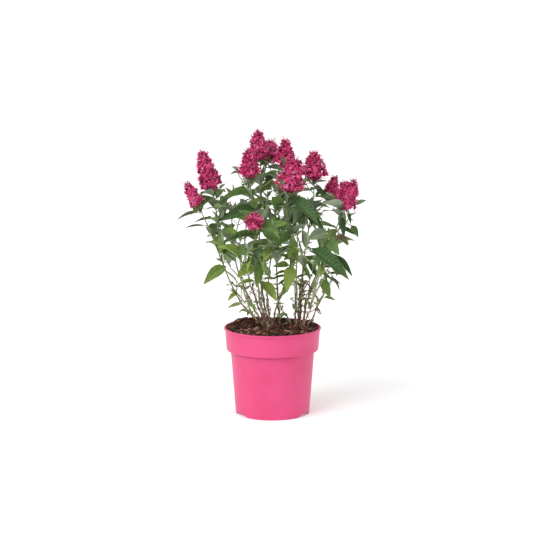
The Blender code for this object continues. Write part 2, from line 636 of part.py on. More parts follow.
class Mass:
    """One mass of leaves: the shoots that grow on from a cane, with leaves and flower heads."""

    def __init__(self, name, cane, number):
        self.node = "foliage_" + name
        self.rows = MASSES[name]
        self.leaf_length = LEAF_LENGTH * LEAF_SHARES.get(name, 1.0)
        self.lowest = 0.0 if name in LEAF_SHARES else LEAF_FLOOR
        self.rng = random.Random(CROWN_SEED + number)
        self.tip, self.lean = cane[-1], (cane[-1] - cane[-2]).normalized()
        self.pieces = []
        self.shoots = []

    def keep(self, bm, space, kind):
        space.add(self.node, bm)
        self.pieces.append((bm, kind))

    def grow_shoots(self, space):
        """The shoots of the table, the first from the cane's tip and the rest from the first."""
        main = None
        for fork, end, head, width, turn in self.rows:
            end = Vector(end)
            if main is None:
                start, lean, radius = self.tip + self.lean * GAP, self.lean, TWIG_RADIUS
            else:
                start, lean = point_along(main, fork)
                lean += (end - start).normalized()
                radius = TWIG_RADIUS * FORK_SHARE
            upturn = Vector((0, 0, SHOOT_UPTURN))
            arrival = (Vector(head) - end) if head else (end - start) + upturn
            points = curve_between(start, lean, end, arrival, SHOOT_STEPS)
            stem = points + [end.lerp(Vector(head), HEAD_STEM_SHARE)] if head else points
            bm = loft(twig_sections(stem, radius, TWIG_END_RADIUS))
            if main and not space.is_free(self.node, bm):
                continue
            self.keep(bm, space, "twig")
            space.add_line(self.node, stem)
            self.shoots.append((points, turn, 1.0))
            main = main or points
            if head:
                self.keep(head_mesh(end, Vector(head), width, self.rng), space, "head")

    def nearest_shoot(self, place):
        """The nearest point of the shoots, a lower one first, and the shoot's heading there."""
        best = None
        for number, (points, _, _) in enumerate(self.shoots):
            for step in range(0 if number else FRONT_START, SHOOT_STEPS * FRONT_STEPS):
                here, along = point_along(points, step / (SHOOT_STEPS * FRONT_STEPS))
                cost = (here - place).length + max(0.0, here.z - place.z)
                if best is None or cost < best[0]:
                    best = (cost, here, along)
        return best[1], best[2]

    def grow_front_leaf(self, space, root, tip, width):
        """A leaf at its own place, on a twig from the nearest shoot, moved along the sight line
        where something stands in its way."""
        for shift in FRONT_SHIFTS:
            back = Vector((0.0, shift, -SIGHT_FALL * shift))
            start, along = self.nearest_shoot(root + back)
            here, twig = start, None
            if (root + back - start).length > FRONT_REACH:
                here = root + back
                lean = along + (here - start).normalized()
                path = curve_between(start, lean, here, tip - root, SPRIG_STEPS)
                twig = loft(twig_sections(path, *TWIG_END_RADII))
                if not space.is_free(self.node, twig):
                    continue
            reach = tip + back - here
            length = reach.length
            heading = (reach + Vector((0.0, 0.0, FRONT_DROOP * length))).normalized()
            blade = (here, heading, FRONT_UPWARD, length, FRONT_DROOP, width)
            if space.is_free(self.node, loft(leaf_sections(*blade, CLEARANCE))):
                if twig:
                    self.keep(twig, space, "twig")
                    space.add_line(self.node, path)
                self.keep(loft(leaf_sections(*blade)), space, "leaf")
                return

    def grow_sprigs(self, space):
        """Short side twigs by a seeded rule, where they touch nothing."""
        for points, _, _ in list(self.shoots):
            length = length_of(points)
            for number in range(int(length / SPRIG_EVERY)):
                share = (number + self.rng.uniform(*SPRIG_PLACES)) * SPRIG_EVERY / length
                start, along = point_along(points, share)
                one, two = across(along)
                angle = self.rng.uniform(0.0, 2 * math.pi)
                aside = one * math.cos(angle) + two * math.sin(angle)
                heading = (along + aside * self.rng.uniform(*SPRIG_SPREAD)).normalized()
                end = start + heading * SPRIG_LENGTH * self.rng.uniform(*SPRIG_LENGTHS)
                arrival = heading + Vector((0, 0, SPRIG_UPTURN))
                path = curve_between(start, heading, end, arrival, SPRIG_STEPS)
                bm = loft(twig_sections(path, *TWIG_END_RADII))
                outer = loft(twig_sections([path[0].lerp(path[1], SPRIG_OUTER), *path[1:]], *TWIG_END_RADII))
                if not hides_gap(path[1:], 0.0) and space.is_free(self.node, bm, outer):
                    self.keep(bm, space, "twig")
                    space.add_line(self.node, path)
                    self.shoots.append((path, self.rng.uniform(0, 90), SPRIG_SCALE))

    def grow_leaves(self, space):
        """Pairs of opposite leaves up every shoot, shorter towards its end."""
        for points, turn, scale in self.shoots:
            spacing = NODE_SPACING * (1 + scale) / 2
            count = max(2, round(length_of(points) / spacing))
            for number in range(count):
                share = (number + 0.5) / count
                root, along = point_along(points, share)
                size = self.leaf_length * scale * (1 - (1 - LEAF_END_SHARE) * share)
                for side in (0, 180):
                    for _ in range(LEAF_TRIES):
                        if self.try_leaf(space, root, along, turn + 90 * number + side, size):
                            break

    def try_leaf(self, space, root, along, turn, size):
        """Adds a leaf where it stays in the mass's own space and touches nothing."""
        one, two = across(along)
        angle = math.radians(turn + self.rng.uniform(-LEAF_SWING, LEAF_SWING))
        aside = one * math.cos(angle) + two * math.sin(angle)
        heading = (aside + along * self.rng.uniform(*LEAF_RISE)).normalized()
        droop = self.rng.uniform(*LEAF_DROOP)
        length = size * self.rng.uniform(*LEAF_SIZES)
        upward = (along + Vector((0, 0, UPWARD_PULL))).normalized()
        width = length * LEAF_WIDTH_SHARE
        sections = leaf_sections(root, heading, upward, length, droop, width, CLEARANCE)
        if abs(heading.dot(upward)) > STEEPEST or not in_crown(sections[-1][0]):
            return False
        fall = Vector((0.0, 0.0, -length * droop))
        seen = [root + (heading * length + fall * share) * share for share in SIGHT_PLACES]
        if hides_gap(seen + sections[2][:2], self.lowest):
            return False
        if space.owner(root + heading * length / 2) != self.node:
            return False
        free = space.is_free(self.node, loft(sections), loft(sections[1:]))
        if free:
            self.keep(loft(leaf_sections(root, heading, upward, length, droop, width)), space, "leaf")
        return free

    def fuse(self, parts, mats):
        """One union of every twig, leaf and flower head of the mass."""
        group = new_collection("pieces of " + self.node)
        heads = [BVHTree.FromBMesh(bm) for bm, kind in self.pieces if kind == "head"]
        base = object_from_bmesh(self.node, self.pieces[0][0], parts, *mats)
        for bm, kind in self.pieces[1:]:
            object_from_bmesh(kind, bm, group)
        union = base.modifiers.new("union", "BOOLEAN")
        union.operation = "UNION"
        union.operand_type = "COLLECTION"
        union.collection = group
        mesh = evaluated_mesh(base)
        base.modifiers.clear()
        for piece in list(group.objects):
            bpy.data.objects.remove(piece, do_unlink=True)
        bpy.data.collections.remove(group)
        keep_largest_shell(mesh)
        base.data = mesh
        mesh.materials.clear()
        for mat in mats:
            mesh.materials.append(mat)
        paint_heads(mesh, heads)


def keep_largest_shell(mesh):
    """Drops loose scraps and fills sealed hollows: only the outermost shell stays."""
    bm = bmesh.new()
    bm.from_mesh(mesh)
    bmesh.ops.dissolve_limit(bm, angle_limit=FLAT_ANGLE, verts=bm.verts, edges=bm.edges)
    bmesh.ops.triangulate(bm, faces=bm.faces)
    waiting, shells = set(bm.faces), []
    while waiting:
        shell, front = [], [waiting.pop()]
        while front:
            face = front.pop()
            shell.append(face)
            beside = {other for edge in face.edges for other in edge.link_faces} & waiting
            waiting -= beside
            front += beside
        shells.append(shell)
    shells.sort(key=len)
    loose = [face for shell in shells[:-1] for face in shell]
    bmesh.ops.delete(bm, geom=loose, context="FACES")
    bm.to_mesh(mesh)
    bm.free()


def paint_heads(mesh, heads):
    """Gives the faces that lie on a flower head the petals' material."""
    for face in mesh.polygons:
        near = [head.find_nearest(face.center)[3] for head in heads]
        face.material_index = 1 if near and min(near) < TOUCH else 0


def evaluated_mesh(obj):
    depsgraph = bpy.context.evaluated_depsgraph_get()
    return bpy.data.meshes.new_from_object(obj.evaluated_get(depsgraph))


def main():
    clear_scene()
    parts = new_collection(NAME)
    cutters = new_collection("cutters")
    make_pot(parts, cutters)
    make_soil(parts)
    bark = material("cane bark", CANE_BROWN, BARK_ROUGHNESS)
    leaf_green = material("leaf", LEAF_GREEN, LEAF_ROUGHNESS)
    petals = material("petals", PETAL_PINK, PETAL_ROUGHNESS)
    space = Space()
    masses = []
    for number, (name, (foot, bend, tip, radius)) in enumerate(CANES.items()):
        points = cane_path(foot, bend, tip)
        cane = make_cane("cane_" + name, points, radius, parts, bark)
        bm = bmesh.new()
        bm.from_mesh(evaluated_mesh(cane))
        space.add(cane.name, bm)
        masses.append(Mass(name, points, number))
    for mass in masses:
        mass.grow_shoots(space)
    for name, root, tip, width in FRONT_LEAVES:
        masses[list(CANES).index(name)].grow_front_leaf(space, Vector(root), Vector(tip), width)
    for mass in masses:
        mass.grow_sprigs(space)
    for mass in masses:
        mass.grow_leaves(space)
    for mass in masses:
        mass.fuse(parts, (leaf_green, petals))


main()
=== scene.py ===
import math
import random

import bmesh
import bpy
import numpy as np
from mathutils import Matrix, Vector, noise
from mathutils.bvhtree import BVHTree


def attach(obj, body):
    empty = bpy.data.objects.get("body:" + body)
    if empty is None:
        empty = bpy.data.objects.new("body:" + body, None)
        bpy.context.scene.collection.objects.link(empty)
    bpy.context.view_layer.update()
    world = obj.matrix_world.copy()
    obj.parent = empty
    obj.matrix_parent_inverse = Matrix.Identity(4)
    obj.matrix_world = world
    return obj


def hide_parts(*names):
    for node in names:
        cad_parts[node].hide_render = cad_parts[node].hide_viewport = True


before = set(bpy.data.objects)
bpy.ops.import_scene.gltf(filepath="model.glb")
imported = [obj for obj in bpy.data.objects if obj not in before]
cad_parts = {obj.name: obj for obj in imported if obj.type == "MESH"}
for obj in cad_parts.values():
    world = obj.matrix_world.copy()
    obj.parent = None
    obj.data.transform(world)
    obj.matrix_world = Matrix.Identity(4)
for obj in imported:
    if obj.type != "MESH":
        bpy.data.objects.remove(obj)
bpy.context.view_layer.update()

fullTurn = 2 * math.pi
sky = Vector((0.0, 0.0, 1.0))
tiny = 1e-6


class Wire:
    # a node's output, on which Python's operators add Math nodes
    def __init__(self, paint, socket):
        self.paint = paint
        self.socket = socket

    def maths(self, operation, *values):
        return self.paint.node("ShaderNodeMath", {"operation": operation}, dict(enumerate(values)))

    def __add__(self, other):
        return self.maths("ADD", self, other)

    def __radd__(self, other):
        return self.maths("ADD", other, self)

    def __sub__(self, other):
        return self.maths("SUBTRACT", self, other)

    def __rsub__(self, other):
        return self.maths("SUBTRACT", other, self)

    def __mul__(self, other):
        return self.maths("MULTIPLY", self, other)

    def __rmul__(self, other):
        return self.maths("MULTIPLY", other, self)

    def __abs__(self):
        return self.maths("ABSOLUTE", self)

    def fraction(self):
        return self.maths("FRACT", self)

    def ramp(self, low, high):
        # 0 below low, 1 above high, smooth between
        settings = {"interpolation_type": "SMOOTHSTEP"}
        return self.paint.node("ShaderNodeMapRange", settings, {0: self, 1: low, 2: high})


class Paint:
    # a material and the nodes behind its shader
    def __init__(self, name, colour, fixed):
        self.material = bpy.data.materials.new(name)
        self.material.use_nodes = True
        self.material.diffuse_color = (*colour, 1.0)
        self.tree = self.material.node_tree
        self.shader = self.tree.nodes["Principled BSDF"]
        self.shader.inputs["Base Color"].default_value = (*colour, 1.0)
        for socket, value in fixed.items():
            self.shader.inputs[socket].default_value = value

    def node(self, kind, settings, sockets, output=0):
        made = self.tree.nodes.new(kind)
        for key, value in settings.items():
            setattr(made, key, value)
        for key, value in sockets.items():
            if isinstance(value, Wire):
                self.tree.links.new(value.socket, made.inputs[key])
            else:
                made.inputs[key].default_value = value
        return Wire(self, made.outputs[output])

    def place(self):
        return self.node("ShaderNodeTexCoord", {}, {}, "Object")

    def height(self):
        return self.node("ShaderNodeSeparateXYZ", {}, {0: self.place()}, "Z")

    def grain(self, scale, stretch=(1.0, 1.0, 1.0), detail=3.0):
        vector = self.node("ShaderNodeMapping", {}, {"Vector": self.place(), "Scale": stretch})
        sockets = {"Vector": vector, "Scale": scale, "Detail": detail}
        return self.node("ShaderNodeTexNoise", {}, sockets)

    def blend(self, mask, low, high):
        low = low if isinstance(low, Wire) else (*low, 1.0)
        high = high if isinstance(high, Wire) else (*high, 1.0)
        return self.node("ShaderNodeMix", {"data_type": "RGBA"}, {0: mask, 6: low, 7: high}, 2)

    def feed(self, socket, wire):
        self.tree.links.new(wire.socket, self.shader.inputs[socket])

    def bump(self, height, distance):
        sockets = {"Distance": distance, "Height": height}
        self.feed("Normal", self.node("ShaderNodeBump", {}, sockets))


def shaded(colour, share):
    return [part * share for part in colour]


class Shape:
    # a small shape as arrays, to be set down many times
    def __init__(self, bm, part=None, mapping=None):
        bm.verts.ensure_lookup_table()
        bm.verts.index_update()
        self.points = np.array([vert.co[:] for vert in bm.verts])
        self.faces = [np.array([vert.index for vert in face.verts]) for face in bm.faces]
        self.parts = [part(face) if part else 0 for face in bm.faces]
        spots = {vert.index: mapping(vert) if mapping else (0.5, 0.5) for vert in bm.verts}
        self.mapped = [spots[index] for face in self.faces for index in face]
        bm.free()


class Spray:
    # shapes of one kind, gathered into one mesh
    def __init__(self):
        self.corners = []
        self.faces = []
        self.slots = []
        self.mapped = []
        self.count = 0

    def add(self, shape, corners, tints):
        self.corners.append(corners)
        self.faces += [(face + self.count).tolist() for face in shape.faces]
        self.slots += [tints[part] for part in shape.parts]
        self.mapped += shape.mapped
        self.count += len(corners)

    def make(self, name, paints):
        mesh = bpy.data.meshes.new(name)
        mesh.from_pydata(np.concatenate(self.corners), [], self.faces)
        mesh.polygons.foreach_set("material_index", self.slots)
        layer = mesh.uv_layers.new(name="blade")
        layer.data.foreach_set("uv", np.array(self.mapped, dtype=np.float32).ravel())
        for paint in paints:
            mesh.materials.append(paint.material)
        mesh.validate()
        return smoothed(mesh, 50)


def smoothed(mesh, angle):
    # shaded smooth, but for the edges sharper than the angle
    mesh.shade_smooth()
    mesh.set_sharp_from_angle(angle=math.radians(angle))
    piece = bpy.data.objects.new(mesh.name, mesh)
    bpy.context.scene.collection.objects.link(piece)
    return piece


def meshFrom(bm, name, paints):
    mesh = bpy.data.meshes.new(name)
    bm.to_mesh(mesh)
    bm.free()
    for paint in paints:
        mesh.materials.append(paint.material)
    return mesh


def finish(piece, slot, *nodes):
    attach(piece, "root")
    if nodes:
        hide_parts(*nodes)


def evaluated(piece):
    depsgraph = bpy.context.evaluated_depsgraph_get()
    return bpy.data.meshes.new_from_object(piece.evaluated_get(depsgraph))


def taken(curve):
    # the curve's own mesh, with the curve taken away
    piece = bpy.data.objects.new(curve.name, curve)
    bpy.context.scene.collection.objects.link(piece)
    mesh = evaluated(piece)
    bpy.data.objects.remove(piece, do_unlink=True)
    bpy.data.curves.remove(curve)
    return mesh


def newTubes(name, sides, paints):
    curve = bpy.data.curves.new(name, "CURVE")
    curve.dimensions = "3D"
    curve.bevel_depth = 1.0
    curve.bevel_resolution = sides // 2 - 2
    curve.use_fill_caps = True
    for paint in paints:
        curve.materials.append(paint.material)
    return curve


def addTube(curve, points, radii, paintNumber=0):
    spline = curve.splines.new("POLY")
    spline.points.add(len(points) - 1)
    for point, place, radius in zip(spline.points, points, radii):
        point.co = (*place, 1.0)
        point.radius = radius
    spline.material_index = paintNumber


def across(direction):
    aside = direction.orthogonal().normalized()
    return aside, direction.cross(aside).normalized()


def sideways(axis, angle):
    # square to the axis, at that angle round it
    one, two = across(axis)
    return one * math.cos(angle) + two * math.sin(angle)


def aimed(axis, degrees, rise):
    # out from the axis and up it
    return (sideways(axis, math.radians(degrees)) + axis * rise).normalized()


def tilted(axis, angle, tilt):
    return axis * math.cos(tilt) + sideways(axis, angle) * math.sin(tilt)


def lengthOf(points):
    return sum((b - a).length for a, b in zip(points, points[1:]))


def pointAlong(points, share):
    # the place and the heading at that share of a path
    place = min(share, 0.999) * (len(points) - 1)
    step = int(place)
    ahead = points[step + 1] - points[step]
    return points[step] + ahead * (place - step), ahead.normalized()


def smoothPath(points, spacing):
    # a finer path through the same points, rounded at each
    finer = []
    last = len(points) - 1
    for step in range(last):
        before, start = points[max(step - 1, 0)], points[step]
        end, after = points[step + 1], points[min(step + 2, last)]
        parts = max(1, round((end - start).length / spacing))
        for part in range(parts):
            t = part / parts
            a = start * 2
            b = (end - before) * t
            c = (before * 2 - start * 5 + end * 4 - after) * t * t
            d = (start * 3 - before - end * 3 + after) * t ** 3
            finer.append((a + b + c + d) / 2)
    return finer + [points[-1]]


def curveBetween(start, lean, end, arrival, steps):
    reach = (end - start).length / 3
    a, b = start + lean.normalized() * reach, end - arrival.normalized() * reach
    points = []
    for step in range(steps + 1):
        t = step / steps
        s = 1 - t
        points.append(start * s ** 3 + a * 3 * s * s * t + b * 3 * s * t * t + end * t ** 3)
    return points


# The camera stands where the photograph's did. Each lamp has its strength, tilt and turn.
view = {
    "distance": 3.43, "height": 0.862, "aside": 0.0078, "tilt": 9.78, "lens": 116.2, "film": 36,
}
light = {
    "world": 0.77, "backdrop": 1.3, "lamps": {"key": (1.68, 46, -42), "fill": (0.2, 40, 50)},
    "softness": 40, "floor": (0.93, 0.93, 0.93), "floorGlow": 0.15, "floorRadius": 60.0,
}


def makeStage():
    scene = bpy.context.scene
    camera = bpy.data.objects.new("camera", bpy.data.cameras.new("camera"))
    camera.data.lens = view["lens"]
    camera.data.sensor_width = view["film"]
    camera.location = (view["aside"], -view["distance"], view["height"])
    camera.rotation_euler = (math.radians(90 - view["tilt"]), 0.0, 0.0)
    scene.collection.objects.link(camera)
    scene.camera = camera
    scene.view_settings.view_transform = "Standard"

    world = bpy.data.worlds.new("studio")
    world.use_nodes = True
    scene.world = world
    tree = world.node_tree
    seen = tree.nodes.new("ShaderNodeLightPath")
    strength = tree.nodes.new("ShaderNodeMix")
    strength.inputs[2].default_value = light["world"]
    strength.inputs[3].default_value = light["backdrop"]
    tree.links.new(seen.outputs["Is Camera Ray"], strength.inputs[0])
    backdrop = tree.nodes["Background"]
    backdrop.inputs["Color"].default_value = (1.0, 1.0, 1.0, 1.0)
    tree.links.new(strength.outputs[0], backdrop.inputs["Strength"])

    for name, (energy, tilt, turn) in light["lamps"].items():
        lamp = bpy.data.lights.new(name, "SUN")
        lamp.energy = energy
        lamp.angle = math.radians(light["softness"])
        piece = bpy.data.objects.new(name, lamp)
        piece.rotation_euler = (math.radians(tilt), 0.0, math.radians(turn))
        scene.collection.objects.link(piece)

    glow = {"Emission Color": (1.0, 1.0, 1.0, 1.0), "Emission Strength": light["floorGlow"]}
    pale = Paint("pale floor", light["floor"],
                 {"Roughness": 0.9, "Specular IOR Level": 0.1, **glow})
    bm = bmesh.new()
    bmesh.ops.create_circle(bm, cap_ends=True, segments=96, radius=light["floorRadius"])
    floor = smoothed(meshFrom(bm, "floor", [pale]), 30)


makeStage()
print("stage set")


# The pot: a turned shell with a wide band under its rim, within a few millimetres of the CAD model
pot = {
    "height": 0.171, "rimRadius": 0.095, "lipHeight": 0.004, "lipSlope": 0.001, "bandRadius": 0.093,
    "bandFootRadius": 0.0903, "bandHeight": 0.0440, "bandEdge": 0.0014, "bandStep": 0.0008,
    "shoulderDrop": 0.004, "wallRadius": 0.0820, "footRadius": 0.0724, "lowRing": 0.012,
    "wall": 0.0016, "base": 0.007, "recess": 0.0050, "footRing": 0.0030,
    "archHeight": 0.0064, "archReach": 0.010, "archSpan": 33, "archPlaces": (-150, -30, 90),
    "steps": 180, "archSteps": 64, "turnSteps": 5,
    # how far each edge of the shell is rounded
    "turns": {"recess": 0.0008, "ring": 0.0005, "foot": 0.0022, "shoulder": 0.0012,
              "underBand": 0.0009, "band": 0.0008, "lip": 0.0007, "rim": 0.0009, "mouth": 0.0006,
              "inside": 0.0008, "floor": 0.002},
}
# the last pink is painted shade, for the crease under the band and the line under the lip
potPinks = {
    "plastic": (0.71, 0.067, 0.212), "deep": (0.64, 0.049, 0.168), "scuff": (0.88, 0.21, 0.37),
    "creaseShade": (0.42, 0.020, 0.095),
}
bandFoot = pot["height"] - pot["bandHeight"]
shoulder = bandFoot - pot["shoulderDrop"]
lipFoot = pot["height"] - pot["lipHeight"]


def potWallRadius(height):
    return pot["footRadius"] + (pot["wallRadius"] - pot["footRadius"]) * height / shoulder


def potInnerRadius(height):
    if height <= shoulder:
        return potWallRadius(height) - pot["wall"]
    if height < bandFoot:
        share = (height - shoulder) / pot["shoulderDrop"]
        return pot["wallRadius"] - pot["wall"] + share * (pot["bandFootRadius"] - pot["wallRadius"])
    share = (height - bandFoot) / pot["bandHeight"]
    return pot["bandFootRadius"] - pot["wall"] + share * (pot["bandRadius"] - pot["bandFootRadius"])


def filleted(corners):
    # (radius, height, rounding) corners as a line with its corners rounded
    line = []
    for number, (radius, height, rounding) in enumerate(corners):
        here = Vector((radius, height))
        if rounding == 0 or number in (0, len(corners) - 1):
            line.append(here)
            continue
        before = Vector(corners[number - 1][:2]) - here
        after = Vector(corners[number + 1][:2]) - here
        # a turn takes less than half of the line beside it, which leaves room for the next one
        a = here + before.normalized() * min(rounding, before.length * 0.48)
        b = here + after.normalized() * min(rounding, after.length * 0.48)
        for step in range(pot["turnSteps"] + 1):
            t = step / pot["turnSteps"]
            line.append(a * (1 - t) ** 2 + here * 2 * t * (1 - t) + b * t * t)
    return line


def spun(profile, steps):
    # a line of (radius, height) points turned about the upright axis
    bm = bmesh.new()
    verts = [bm.verts.new((point[0], 0.0, point[1])) for point in profile]
    edges = [bm.edges.new(pair) for pair in zip(verts, verts[1:])]
    bmesh.ops.spin(bm, geom=verts + edges, cent=(0, 0, 0), axis=(0, 0, 1), angle=fullTurn,
                   steps=steps, use_merge=True)
    bmesh.ops.remove_doubles(bm, verts=bm.verts, dist=tiny)
    bmesh.ops.recalc_face_normals(bm, faces=bm.faces)
    return bm


def potPaint():
    # cloudy pink plastic, scuffed here and there, with painted shade in the crease under its band
    # and along the foot of its lip
    pink = Paint("pink plastic", potPinks["plastic"], {"Specular IOR Level": 0.42})
    cloud = pink.grain(14.0)
    scuffs = pink.grain(70.0, stretch=(1.0, 1.0, 6.0), detail=6.0).ramp(0.66, 0.80)
    body = pink.blend(cloud.ramp(0.25, 0.8), potPinks["deep"], potPinks["plastic"])
    body = pink.blend(scuffs * 0.35, body, potPinks["scuff"])
    # painted shade: darker in the crease under the band, and a faint dark line under the lip
    creaseShade = 1 - abs(pink.height() - (bandFoot - pot["shoulderDrop"] / 2)).ramp(0.0012, 0.0030)
    lipShade = 1 - abs(pink.height() - lipFoot).ramp(0.0003, 0.0012)
    pink.feed("Base Color", pink.blend(creaseShade * 0.62 + lipShade * 0.2, body, potPinks["creaseShade"]))
    pink.feed("Roughness", 0.36 + pink.grain(45.0) * 0.12 + scuffs * 0.14)
    pink.bump(pink.grain(900.0), 0.00006)
    return pink


def potCorners():
    turns, top, recess, base = pot["turns"], pot["height"], pot["recess"], pot["base"]
    ring, middle, low = pot["footRadius"] - pot["footRing"], shoulder * 0.5, pot["lowRing"]
    return [
        (0.0, recess, 0.0), (ring, recess, turns["recess"]), (ring, 0.0, turns["ring"]),
        (potWallRadius(0.0), 0.0, turns["foot"]), (potWallRadius(low), low, 0.0),
        (potWallRadius(middle), middle, 0.0), (pot["wallRadius"], shoulder, turns["shoulder"]),
        (pot["bandFootRadius"] - pot["bandStep"], bandFoot, turns["underBand"]),
        (pot["bandFootRadius"], bandFoot + pot["bandEdge"], turns["band"]),
        (pot["bandRadius"], lipFoot - pot["lipSlope"], turns["lip"]),
        (pot["rimRadius"], lipFoot, turns["lip"]), (pot["rimRadius"], top, turns["rim"]),
        (potInnerRadius(top), top, turns["mouth"]), (potInnerRadius(lipFoot), lipFoot, 0.0),
        (potInnerRadius(bandFoot), bandFoot, turns["inside"]),
        (potInnerRadius(shoulder), shoulder, turns["inside"]),
        (potInnerRadius(base), base, turns["floor"]), (0.0, base, 0.0),
    ]


def archCutter(place):
    # a lying cylinder, squashed to the size of one arch in the foot edge
    angle = math.radians(place)
    bm = bmesh.new()
    bmesh.ops.create_cone(bm, cap_ends=True, segments=pot["archSteps"], radius1=1.0, radius2=1.0,
                          depth=2.0)
    width = pot["footRadius"] * math.sin(math.radians(pot["archSpan"] / 2))
    size = Matrix.Diagonal((pot["archHeight"], width, pot["archReach"], 1.0))
    lay = Matrix.Rotation(angle, 4, "Z") @ Matrix.Rotation(math.pi / 2, 4, "Y")
    away = Vector((math.cos(angle), math.sin(angle), 0.0)) * pot["footRadius"]
    bmesh.ops.transform(bm, matrix=Matrix.Translation(away) @ lay @ size, verts=bm.verts)
    return smoothed(meshFrom(bm, "arch", []), 30)


def makePot():
    profile = filleted(potCorners())
    shell = smoothed(meshFrom(spun(profile, pot["steps"]), "pot_shell_rough", [potPaint()]), 35)
    cutters = [archCutter(place) for place in pot["archPlaces"]]
    for cutter in cutters:
        cut = shell.modifiers.new("arch", "BOOLEAN")
        cut.object = cutter
        cut.solver = "EXACT"
    mesh = evaluated(shell)
    for old in [shell, *cutters]:
        bpy.data.objects.remove(old, do_unlink=True)
    mesh.name = "pot_shell"
    finish(smoothed(mesh, 35), "pot_plastic", "pot")


makePot()
print("pot turned")


# The compost: a rough bed, heaped a little at both sides
soil = {
    "top": 0.1685, "gap": 0.0003, "wallSpare": 0.0006, "floorSpare": 0.0012, "ledge": 0.001,
    "steps": 150, "rings": 44, "relief": 0.0022, "lumps": 95.0, "grains": 260.0, "grainShare": 0.6,
    "edgeDip": 0.004, "edgeFrom": 0.93, "edgeWidth": 0.07,
    # each heap's place, width and rise
    "heaps": ((-0.062, 0.048, 0.026, 0.0062), (0.070, 0.036, 0.022, 0.0050),
              (-0.030, 0.072, 0.03, 0.0030)),
}

# What lies on the bed: bark chips, crumbs and a few dry stalks
litter = {
    "seed": 11, "margin": 0.0025, "tilts": (0.30, 0.22), "tintWeights": (30, 24, 30, 7, 9),
    "chips": 820, "chipShapes": 7, "chipTaper": 0.5, "chipBend": 0.25, "chipJitter": 0.11,
    "chipSizes": ((0.006, 0.016), (0.003, 0.007), (0.0012, 0.003)), "chipOverhang": 0.42,
    "chipLift": (-0.0004, 0.0022),
    "crumbs": 1500, "crumbShapes": 5, "crumbJitter": (0.65, 1.15), "crumbSize": (0.0006, 0.0019),
    "crumbFlat": 0.8, "crumbLift": (0.0, 0.0018),
    "stalks": (((0.072, 0.072), (0.064, 0.040), (0.052, -0.008)),
               ((-0.039, -0.036), (-0.030, -0.041), (-0.018, -0.038)),
               ((-0.010, -0.050), (0.004, -0.058), (0.012, -0.052)),
               ((0.020, 0.030), (0.030, 0.018), (0.036, 0.022))),
    "stalkRadius": 0.0008, "stalkRise": 0.0022, "stalkSpacing": 0.003, "stalkSides": 6,
}
barkTints = {
    "red": (0.135, 0.036, 0.026), "brown": (0.15, 0.062, 0.038), "dark": (0.030, 0.014, 0.011),
    "tan": (0.42, 0.23, 0.14), "mossy": (0.050, 0.054, 0.034),
}


def soilHeight(x, y):
    height = soil["top"]
    for heapX, heapY, width, rise in soil["heaps"]:
        height += rise * math.exp(-((x - heapX) ** 2 + (y - heapY) ** 2) / width ** 2)
    edge = math.hypot(x, y) / potInnerRadius(soil["top"])
    height += soil["relief"] * noise.noise(Vector((x, y, 0.3)) * soil["lumps"])
    height += (soil["grainShare"] * soil["relief"]
               * noise.noise(Vector((x, y, 7.7)) * soil["grains"]))
    return height - soil["edgeDip"] * max(0.0, edge - soil["edgeFrom"]) / soil["edgeWidth"]


def makeSoil():
    bed = Paint("damp compost", barkTints["dark"], {"Roughness": 0.95, "Specular IOR Level": 0.2})
    clods = bed.grain(260.0, detail=6.0)
    bed.feed("Base Color", bed.blend(clods.ramp(0.35, 0.7), barkTints["dark"], barkTints["red"]))
    bed.bump(clods, 0.0008)
    gap, spare, ledge = soil["gap"], soil["wallSpare"], soil["ledge"]
    low = pot["base"] + gap
    edge = potInnerRadius(soil["top"]) - gap
    profile = [(0.0, low), (potInnerRadius(low) - gap - soil["floorSpare"], low),
               (potInnerRadius(shoulder) - 2 * gap - spare, shoulder - ledge),
               (potInnerRadius(bandFoot) - gap - spare, bandFoot + ledge)]
    profile += [(edge * (1 - n / soil["rings"]), soil["top"]) for n in range(soil["rings"] + 1)]
    bm = spun(profile, soil["steps"])
    for vert in bm.verts:
        if vert.co.z > soil["top"] - tiny:
            vert.co.z = soilHeight(vert.co.x, vert.co.y)
    finish(smoothed(meshFrom(bm, "compost_bed", [bed]), 60), "compost", "soil")


def chipShape(rng):
    bm = bmesh.new()
    bmesh.ops.create_cube(bm, size=1.0)
    bmesh.ops.subdivide_edges(bm, edges=bm.edges, cuts=1, use_grid_fill=True)
    taper = rng.uniform(-litter["chipTaper"], litter["chipTaper"])
    bend = rng.uniform(-litter["chipBend"], litter["chipBend"])
    for vert in bm.verts:
        x, y, z = vert.co
        y *= 1 + taper * x
        z += bend * x * x
        jitter = [rng.uniform(-litter["chipJitter"], litter["chipJitter"]) for _ in range(3)]
        vert.co = (x + jitter[0] * 0.6, y + jitter[1], z + jitter[2])
    return Shape(bm)


def crumbShape(rng):
    bm = bmesh.new()
    bmesh.ops.create_icosphere(bm, subdivisions=1, radius=1.0)
    for vert in bm.verts:
        vert.co *= rng.uniform(*litter["crumbJitter"])
    return Shape(bm)


def chipPaint(name, colour):
    paint = Paint("bark chip " + name, colour, {"Roughness": 0.85, "Specular IOR Level": 0.25})
    fibre = paint.grain(420.0, detail=4.0)
    paint.feed("Base Color", paint.blend(fibre.ramp(0.3, 0.7), shaded(colour, 0.62), colour))
    paint.bump(fibre, 0.0003)
    return paint


